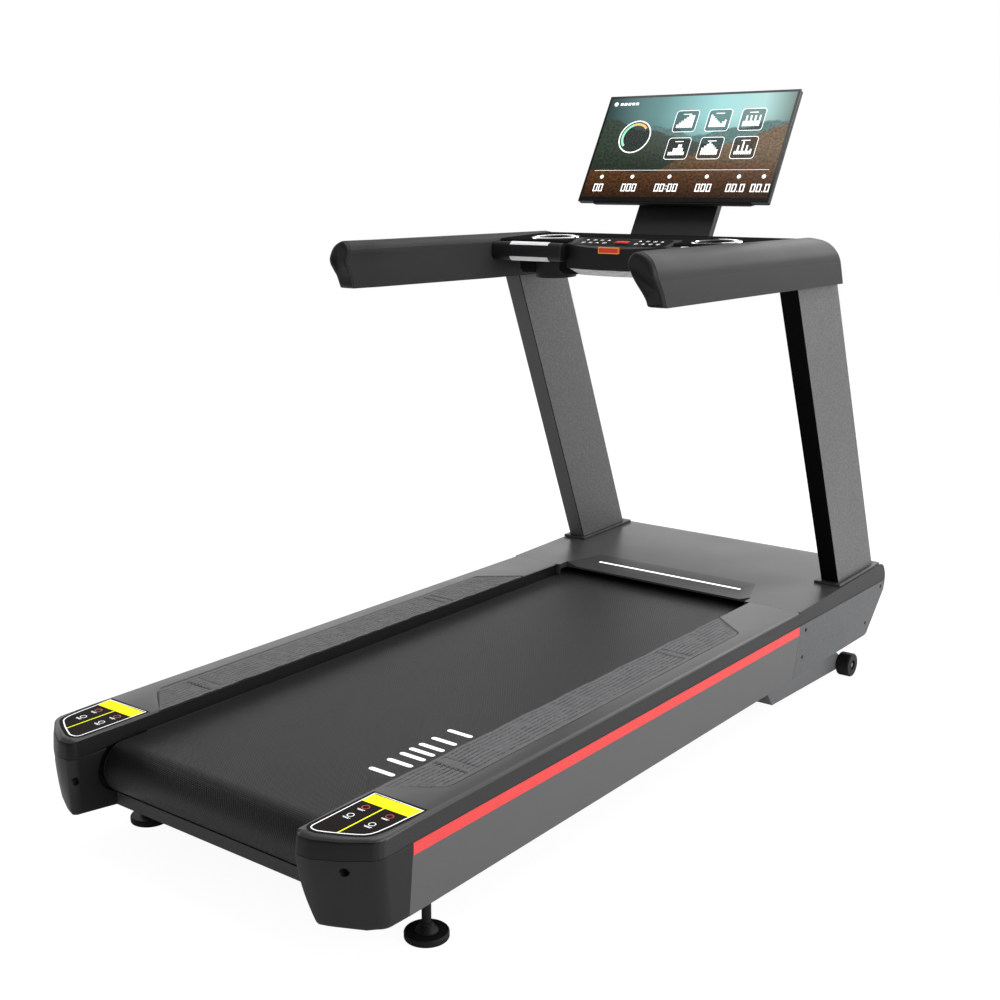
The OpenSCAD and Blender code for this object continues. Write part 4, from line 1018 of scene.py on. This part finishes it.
SOFT = [
    ("hood", 0.004, 4, "hood"),
    ("shell", 0.003, 2, "mast"),
    ("shell", 0.0035, 3, "screen_housing"),
    ("black", 0.003, 3, "keypad_housing"),
    ("black", 0.003, 2, "pulse_bars"),
    ("tray", 0.004, 3, "console_tray"),
    ("upright", 0.0025, 3, "upright_left", "upright_right"),
    ("lift", 0.0022, 2, "lift_frame"),
    ("plate", 0.0008, 2, "front_plates"),
    ("rail", 0.0008, 2, "side_rail_left", "side_rail_right"),
    ("frame", 0.0015, 2, "rear_beam"),
    ("boot", 0.003, 3, "upright_boots"),
    ("tag", 0.0022, 3, "safety_key"),
    ("red", 0.0012, 2, "stop_key"),
    ("mesh", 0.0, 1, "chin_panel"),
    ("light", 0.0, 1, "light_strip"),
    ("tyre", 0.001, 2, "rear_foot_left", "rear_foot_right"),
    ("bolt", 0.0012, 2, "lock_nuts"),
    ("tyre", 0.0015, 3, "front_wheel_left", "front_wheel_right"),
    ("black", 0.0008, 2, "power_inlet", "switch_frame"),
    ("red", 0.0005, 2, "power_switch"),
    ("gloss_black", 0.0006, 2, "keypad"),
    ("chrome", 0.0, 1, "cup_rings"),
    ("frame", 0.001, 2, "front_beam", "deck_members"),
    ("motor", 0.002, 2, "lift_motor"),
]  # material, width and segments of the rounding, nodes
soft = {}
for mat, width, segments, *softened in SOFT:
    for node in softened:
        soft[node] = soften(node, M[mat], width, segments)

hood_low = box("hood")[0]
HOOD_RISE = 0.0042
STRIP_SHIFT = 0.004

# The motor cover's moulded sides are darker than its top, and the rear-tilted faces of the dip at
# its rear get a darker copy of its plastic as painted shade
hood = soft["hood"].data
hood.materials.append(M["band"])
hood.materials.append(M["hood_dip_painted_shade"])
for p in hood.polygons:
    if abs(p.normal.x) > 0.9 and abs(p.center.x) > OUT_X - 0.004:
        p.material_index = 1
    elif p.normal.z > 0.7 and p.normal.y < -0.03 and p.center.y < hood_low.y + 0.25:
        p.material_index = 2

# The top of the motor cover climbs to the front, its rubber boots and the glowing pale strip with
# it
for node in ("hood", "upright_boots", "light_strip"):
    for v in soft[node].data.vertices:
        climb = HOOD_RISE * ease(hood_low.y, hood_low.y + 0.30, v.co.y)
        v.co.z += climb * ease(TOP - 0.012, TOP + 0.004, v.co.z)
for v in soft["light_strip"].data.vertices:
    v.co.x += STRIP_SHIFT

# The rear-facing sheet of the right upright is black, that of the left one grey, its edge black
for node, inner in (("upright_left", "column_grey"), ("upright_right", "column")):
    me = soft[node].data
    me.materials.append(M[inner])
    me.materials.append(M["column"])
    for p in me.polygons:
        if p.normal.y < -0.6:
            p.material_index = 1
soft["upright_left"].modifiers["edges"].material = 2

PAINT = {
    "stripe": ("accent_stripes",), "pan": ("belly_pan",), "wood": ("deck_board",),
    "soft": ("deck_cushions", "drive_belt"), "zinc": ("roller_bearings", "lift_screw"),
    "steel": ("rear_roller", "front_roller", "rear_axle", "front_axle"),
    "bolt": ("tension_bolts",), "motor": ("drive_motor",), "cast": ("motor_rotor",),
    # The steel pulse plates get the pale colour of a painted reflection
    "alu": ("motor_controller",), "column": ("cover_screws",), "bright": ("pulse_plates",),
    "black": ("cup_holders",), "glass": ("screen_glass",),
}
for mat, painted in PAINT.items():
    for node in painted:
        paint(node, M[mat])

# ---- keypad marks

key_low = box("keypad")[0]
KEY_TILT = math.radians(13.5)
KEY_O = Vector((0, key_low.y + 0.00014, key_low.z + 0.00253))
KEY_U = Vector((0, math.cos(KEY_TILT), math.sin(KEY_TILT)))
KEY_N = Vector((0, -math.sin(KEY_TILT), math.cos(KEY_TILT)))


def on_key(x, v):
    return KEY_O + Vector((x, 0, 0)) + KEY_U * v + KEY_N * 0.0008


def keypad_marks():
    """Rings, triangles and double lines, with a red frame in the middle."""
    bm = bmesh.new()
    for s in (-1, 1):
        for col in range(4):
            for row in range(2):
                x = s * (0.046 + 0.021 * col)
                v = 0.021 + 0.023 * row
                kind = (col + row) % 3
                if kind == 0:
                    outline_band(bm, on_key, rounded(x, v, 0.0052, 0.0052, 0.0051, 6),
                                 rounded(x, v, 0.0040, 0.0040, 0.0039, 6))
                    patch(bm, on_key, rounded(x, v, 0.0016, 0.0016, 0.0015))
                elif kind == 1:
                    arrow = [(x - 0.005, v - 0.003), (x + 0.005, v - 0.003), (x, v + 0.0045)]
                    patch(bm, on_key, arrow)
                else:
                    for k in (-1, 1):
                        patch(bm, on_key, rounded(x, v + 0.0024 * k, 0.0048, 0.0010, 0.0009))
    outline_band(bm, on_key, rounded(0, 0.031, 0.0205, 0.0105, 0.003),
                 rounded(0, 0.031, 0.0195, 0.0095, 0.0022), 1)
    finish_mesh("keypad_marks", bm, [M["white"], M["red"]])


def tag_border():
    """Yellow line round the face of the safety key."""
    low, high = box("safety_key")
    bm = bmesh.new()
    cz = (low.z + high.z) / 2
    hw, hh = (high.x - low.x) / 2, (high.z - low.z) / 2
    outline_band(
        bm, lambda x, z: (x, low.y - 0.0003, z),
        rounded(0, cz, hw - 0.0003, hh - 0.0003, 0.0018),
        rounded(0, cz, hw - 0.0021, hh - 0.0021, 0.0010),
    )
    finish_mesh("safety_key_border", bm, M["yellow"], body_of["safety_key"])


keypad_marks()
tag_border()

# ---- screen

GLASS_LOW, GLASS_HIGH = box("screen_glass")
LEAN = math.radians(29.5)
GLASS_RISE = 0.0022 * math.sin(LEAN)  # what the glass's thickness adds to its height
SCR_O = Vector((0, GLASS_LOW.y, GLASS_LOW.z + GLASS_RISE))
SCR_U = Vector((0, math.sin(LEAN), math.cos(LEAN)))
SCR_N = Vector((0, -math.cos(LEAN), math.sin(LEAN)))
SCR_W = GLASS_HIGH.x - GLASS_LOW.x
SCR_H = (GLASS_HIGH.z - GLASS_LOW.z - GLASS_RISE) / math.cos(LEAN)


def on_screen(x, v, lift):
    return SCR_O + Vector((x, 0, 0)) + SCR_U * v + SCR_N * lift


def picture_material():
    """Glowing picture: pale sky, mist, layered hills and a warm meadow."""
    s = Shade("screen_picture", grey(0.0), 0.15)
    u, v, _ = s.axes(s.coords(uv=True))

    def noise(scale, sx, sy, seed):
        shift = (seed, seed * 0.7, 0)
        return s.noise(scale, 5.0, stretch=(sx, sy, 1), uv=True, shift=shift)

    def ridge(base, amp, scale, seed, slope):
        """1 below the line of a ridge and 0 above it."""
        h = s.math("MULTIPLY_ADD", noise(scale, 1.0, 0.03, seed), amp, base)
        h = s.math("MULTIPLY_ADD", u, slope, h)
        return s.math("MULTIPLY", s.math("SUBTRACT", h, v), 60.0, clamp=True)

    sky = s.ramp(u, [
        (0.0, (0.02, 0.05, 0.05)), (0.3, (0.10, 0.26, 0.26)), (0.62, (0.35, 0.72, 0.72)),
        (0.85, (0.45, 0.75, 0.72)), (1.0, (0.16, 0.24, 0.22)),
    ])
    dusk = s.ramp(v, [(0.45, grey(0.5)), (0.8, grey(1))])
    color = s.mix(1.0, sky, dusk, "MULTIPLY")
    leaf = noise(42.0, 1.7, 1.0, 3.1)
    for line, dark, bright in (
        ((0.42, 0.45, 3.0, 1.3, 0.05), (0.03, 0.10, 0.11), (0.12, 0.24, 0.22)),
        ((0.62, 0.42, 2.2, 5.1, -0.52), (0.012, 0.028, 0.022), (0.05, 0.075, 0.045)),
        ((-0.18, 0.5, 2.4, 9.4, 0.62), (0.05, 0.035, 0.018), (0.26, 0.15, 0.06)),
        ((0.10, 0.30, 1.6, 14.2, 0.10), (0.055, 0.026, 0.012), (0.30, 0.13, 0.04)),
    ):
        color = s.mix(ridge(*line), color, s.ramp(leaf, [(0.3, dark), (0.7, bright)]))
    low = s.ramp(v, [(0.0, (0.16, 0.14, 0.13)), (0.22, (0.5, 0.45, 0.42)), (0.5, grey(1))])
    s.link(s.mix(1.0, color, low, "MULTIPLY"), s.bsdf.inputs["Emission Color"])
    s.put("Emission Strength", 1.0)
    return s.mat


# Heights of the bars in each tile
TILE_BARS = ("12345666", "65432123", "25252525", "11335531", "34565432", "14161412")
VEIL_LIFT, RIM_LIFT, INK_LIFT = 0.0006, 0.0009, 0.0011
INK, GREEN, AMBER = range(3)


def screen_pieces():
    """Picture on the glass, dark tiles over it and plain marks on top, in three pieces."""
    edge, chin = 0.007, 0.013
    x0, x1, v0, v1 = -SCR_W / 2 + edge, SCR_W / 2 - edge, chin, SCR_H - edge
    w, h = x1 - x0, v1 - v0
    k = h / w  # a length up the picture is this much of the same share across
    bm = bmesh.new()
    bm.loops.layers.uv.new("UVMap")
    corners = [on_screen(*p, 0.0003) for p in rectangle(x0, v0, x1, v1)]
    uv_quad(bm, add_ring(bm, corners), rectangle(0, 0, 1, 1))
    finish_mesh("screen_picture", bm, picture_material())

    tiles = bmesh.new()
    marks = bmesh.new()

    def at(lift, squash=1.0):
        """Places a point given by its shares of the picture's width and height."""
        return lambda u, v: on_screen(x0 + u * w, v0 + v / squash * h, lift)

    on_veil, on_ink = at(VEIL_LIFT), at(INK_LIFT)

    def bar(*sides):
        patch(marks, on_ink, rectangle(*sides))

    tw, th = 0.125, 0.215
    for i, heights in enumerate(TILE_BARS):
        cu = 0.46 + i % 3 * 0.175
        cv = 0.745 - i // 3 * 0.27
        outer = rounded(cu, cv * k, tw / 2, th * k / 2, 0.016, 5)
        inner = rounded(cu, cv * k, tw / 2 - 0.0028, th * k / 2 - 0.0028, 0.0135, 5)
        patch(tiles, at(VEIL_LIFT, k), outer, 1)
        outline_band(tiles, at(RIM_LIFT, k), outer, inner)
        base = cv - th * 0.30
        for j, tall in enumerate(map(int, heights)):
            u0 = cu - tw * 0.36 + j * tw * 0.09
            bar(u0, base, u0 + tw * 0.065, base + 0.014 + tall * 0.018)
        bar(cu - tw * 0.18, cv + th * 0.30, cu + tw * 0.18, cv + th * 0.335)

    # Round gauge on the left: a rim, and inside it ticks that go from green to amber
    gu, gv, gr, steps = 0.20, 0.60, 0.088, 48

    def tick(r0, r1, a0, a1, index):
        patch(marks, on_ink, [
            (gu + r * math.cos(a), gv + r * math.sin(a) / k)
            for r, a in ((r0, a0), (r0, a1), (r1, a1), (r1, a0))
        ], index)

    for j in range(steps):
        a0, a1 = [2 * math.pi * (j + d) / steps for d in (0, 1)]
        tick(gr, gr - 0.006, a0, a1, INK)
    for j in range(33):
        a0, a1 = [math.radians(225 - 270 * (j + d) / steps) for d in (0, 0.86)]
        tick(gr - 0.014, gr - 0.026, a0, a1, GREEN if j < 20 else AMBER)
    patch(tiles, on_veil, circle(gu, gv, gr, steps, k), 1)

    # Lower bar with plain figures, a dot over each
    bar(0.03, 0.262, 0.97, 0.265)

    def figure(u, v, tall, ch):
        """Draws a zero, a colon or a dot and returns its width."""
        wide, gap, t = tall * k * 0.56, tall * k * 0.16, tall * 0.13
        tu = t * k
        mid, top, right = v + tall / 2, v + tall, u + wide
        if ch == "0":
            bar(u, top - t, right, top)
            bar(right - tu, mid, right, top)
            bar(right - tu, v, right, mid)
            bar(u, v, right, v + t)
            bar(u, v, u + tu, mid)
            bar(u, mid, u + tu, top)
            return wide + gap
        for place in (0.28, 0.66) if ch == ":" else (0.0,):
            bar(u, v + tall * place, u + tu, v + tall * (place + 0.13))
        return tu + gap

    for u, text in ((0.055, "00"), (0.215, "000"), (0.40, "00:00"), (0.62, "000"),
                    (0.78, "00.0"), (0.905, "00.0")):
        x = u
        for ch in text:
            x += figure(x, 0.055, 0.075, ch)
        patch(marks, on_ink, circle((u + x) / 2, 0.20, 0.010, 16, k))
    # Small clock and bars at the top left
    patch(marks, on_ink, circle(0.035, 0.94, 0.011, 16, k))
    for j in range(5):
        bar(0.06 + j * 0.022, 0.925, 0.076 + j * 0.022, 0.95)
    ink = see_through("screen_ink", (0.92, 0.94, 0.94), 1.0, 1.0)
    veil = see_through("screen_veil", (0.012, 0.016, 0.018), 0.62)
    green = see_through("screen_green", (0.25, 0.75, 0.45), 1.0, 1.0)
    amber = see_through("screen_amber", (0.85, 0.42, 0.1), 1.0, 1.0)
    finish_mesh("screen_tiles", tiles, [ink, veil])
    finish_mesh("screen_marks", marks, [ink, green, amber])


screen_pieces()

# ---- camera and light

CAM_POS = Vector((1.9058, -2.5768, 1.3492))
AZ, EL, ROLL = math.radians(37.6915), math.radians(13.0198), math.radians(-0.086)
back = Vector((math.sin(AZ) * math.cos(EL), -math.cos(AZ) * math.cos(EL), math.sin(EL)))
level_right = Vector((math.cos(AZ), math.sin(AZ), 0))
level_up = back.cross(level_right)
right = level_right * math.cos(ROLL) + level_up * math.sin(ROLL)
up = level_up * math.cos(ROLL) - level_right * math.sin(ROLL)
cam_data = bpy.data.cameras.new("camera")
cam_data.lens = 50.25
cam_data.sensor_width = 36.0
cam_data.clip_start = 0.05
cam_data.clip_end = 50.0
cam = add_object("camera", cam_data)
view = Matrix((right, up, back)).transposed().to_4x4()
view.translation = CAM_POS
cam.matrix_world = view
scene.camera = cam


def lamp(name, place, aim, size, size_y, power):
    data = bpy.data.lights.new(name, "AREA")
    data.energy = power
    data.shape = "RECTANGLE"
    data.size = size
    data.size_y = size_y
    ob = add_object(name, data)
    ob.location = place
    ob.rotation_euler = (Vector(aim) - Vector(place)).to_track_quat("-Z", "Y").to_euler()
    ob.visible_camera = False


lamp("overhead", (0.2, 0.6, 3.4), (0, 0.0, 0.3), 3.2, 3.6, 60)
lamp("front_soft", (0.6, 4.2, 2.6), (0, 0.4, 0.4), 3.0, 2.4, 70)
lamp("right_soft", (4.2, 0.5, 2.0), (0.2, 0.1, 0.5), 3.0, 2.2, 60)


def world():
    """White to the camera, graded for reflections, an even soft light for the rest."""
    w = bpy.data.worlds.new("studio")
    scene.world = w
    w.use_nodes = True
    g = Graph(w.node_tree)
    g.tree.nodes.clear()
    white = {"Color": (1, 1, 1, 1)}
    clean = g.node("Background", {**white, "Strength": 1.0})
    even = g.node("Background", {**white, "Strength": 0.55})
    mirror = g.node("Background", {"Strength": 2.3})
    axes = g.axes(g.node("TexCoord").outputs["Generated"])

    def grade(axis, stops):
        """Brightness by direction, from 0 at the low end of an axis to 1 at its high end."""
        part = g.math("MULTIPLY_ADD", axes[axis], 0.5, 0.5)
        return g.ramp(part, [(place, grey(value)) for place, value in stops])

    along = grade(1, [(0.15, 0.25), (0.75, 1.0)])
    height = grade(2, [
        (0.48, 0.56), (0.52, 0.09), (0.56, 0.12), (0.60, 1.0), (0.655, 1.0), (0.675, 0.45),
        (0.715, 0.12),
    ])
    g.link(g.mix(1.0, along, height, "MULTIPLY"), mirror.inputs["Color"])
    rays = g.node("LightPath").outputs
    light = g.mix_shader(rays["Is Glossy Ray"], even, mirror)
    light = g.mix_shader(rays["Is Transmission Ray"], light, clean)
    light = g.mix_shader(rays["Is Camera Ray"], light, clean)
    g.link(light.outputs[0], g.node("OutputWorld").inputs[0])


def floor():
    """Plain pale floor: white to the camera, with the soft shadow of the object on it."""
    bm = bmesh.new()
    bmesh.ops.create_circle(bm, cap_ends=True, radius=9.0, segments=64)
    ob = add_mesh("floor", bm)
    s = Shade("floor_white", grey(0.8), 0.9, spec=0.1)
    lit = s.node("Emission", {"Color": (1, 1, 1, 1), "Strength": 0.94})
    black = s.node("Emission", {"Strength": 0.0})
    seen = s.node("AddShader")
    s.link(lit.outputs[0], seen.inputs[0])
    s.link(s.mix_shader(0.22, black, s.bsdf).outputs[0], seen.inputs[1])
    to_camera = s.node("LightPath").outputs["Is Camera Ray"]
    shown = s.mix_shader(to_camera, s.bsdf, seen)
    s.link(shown.outputs[0], s.tree.nodes["Material Output"].inputs["Surface"])
    ob.data.materials.append(s.mat)


world()
floor()

scene.view_settings.view_transform = "Standard"
scene.view_settings.look = "None"
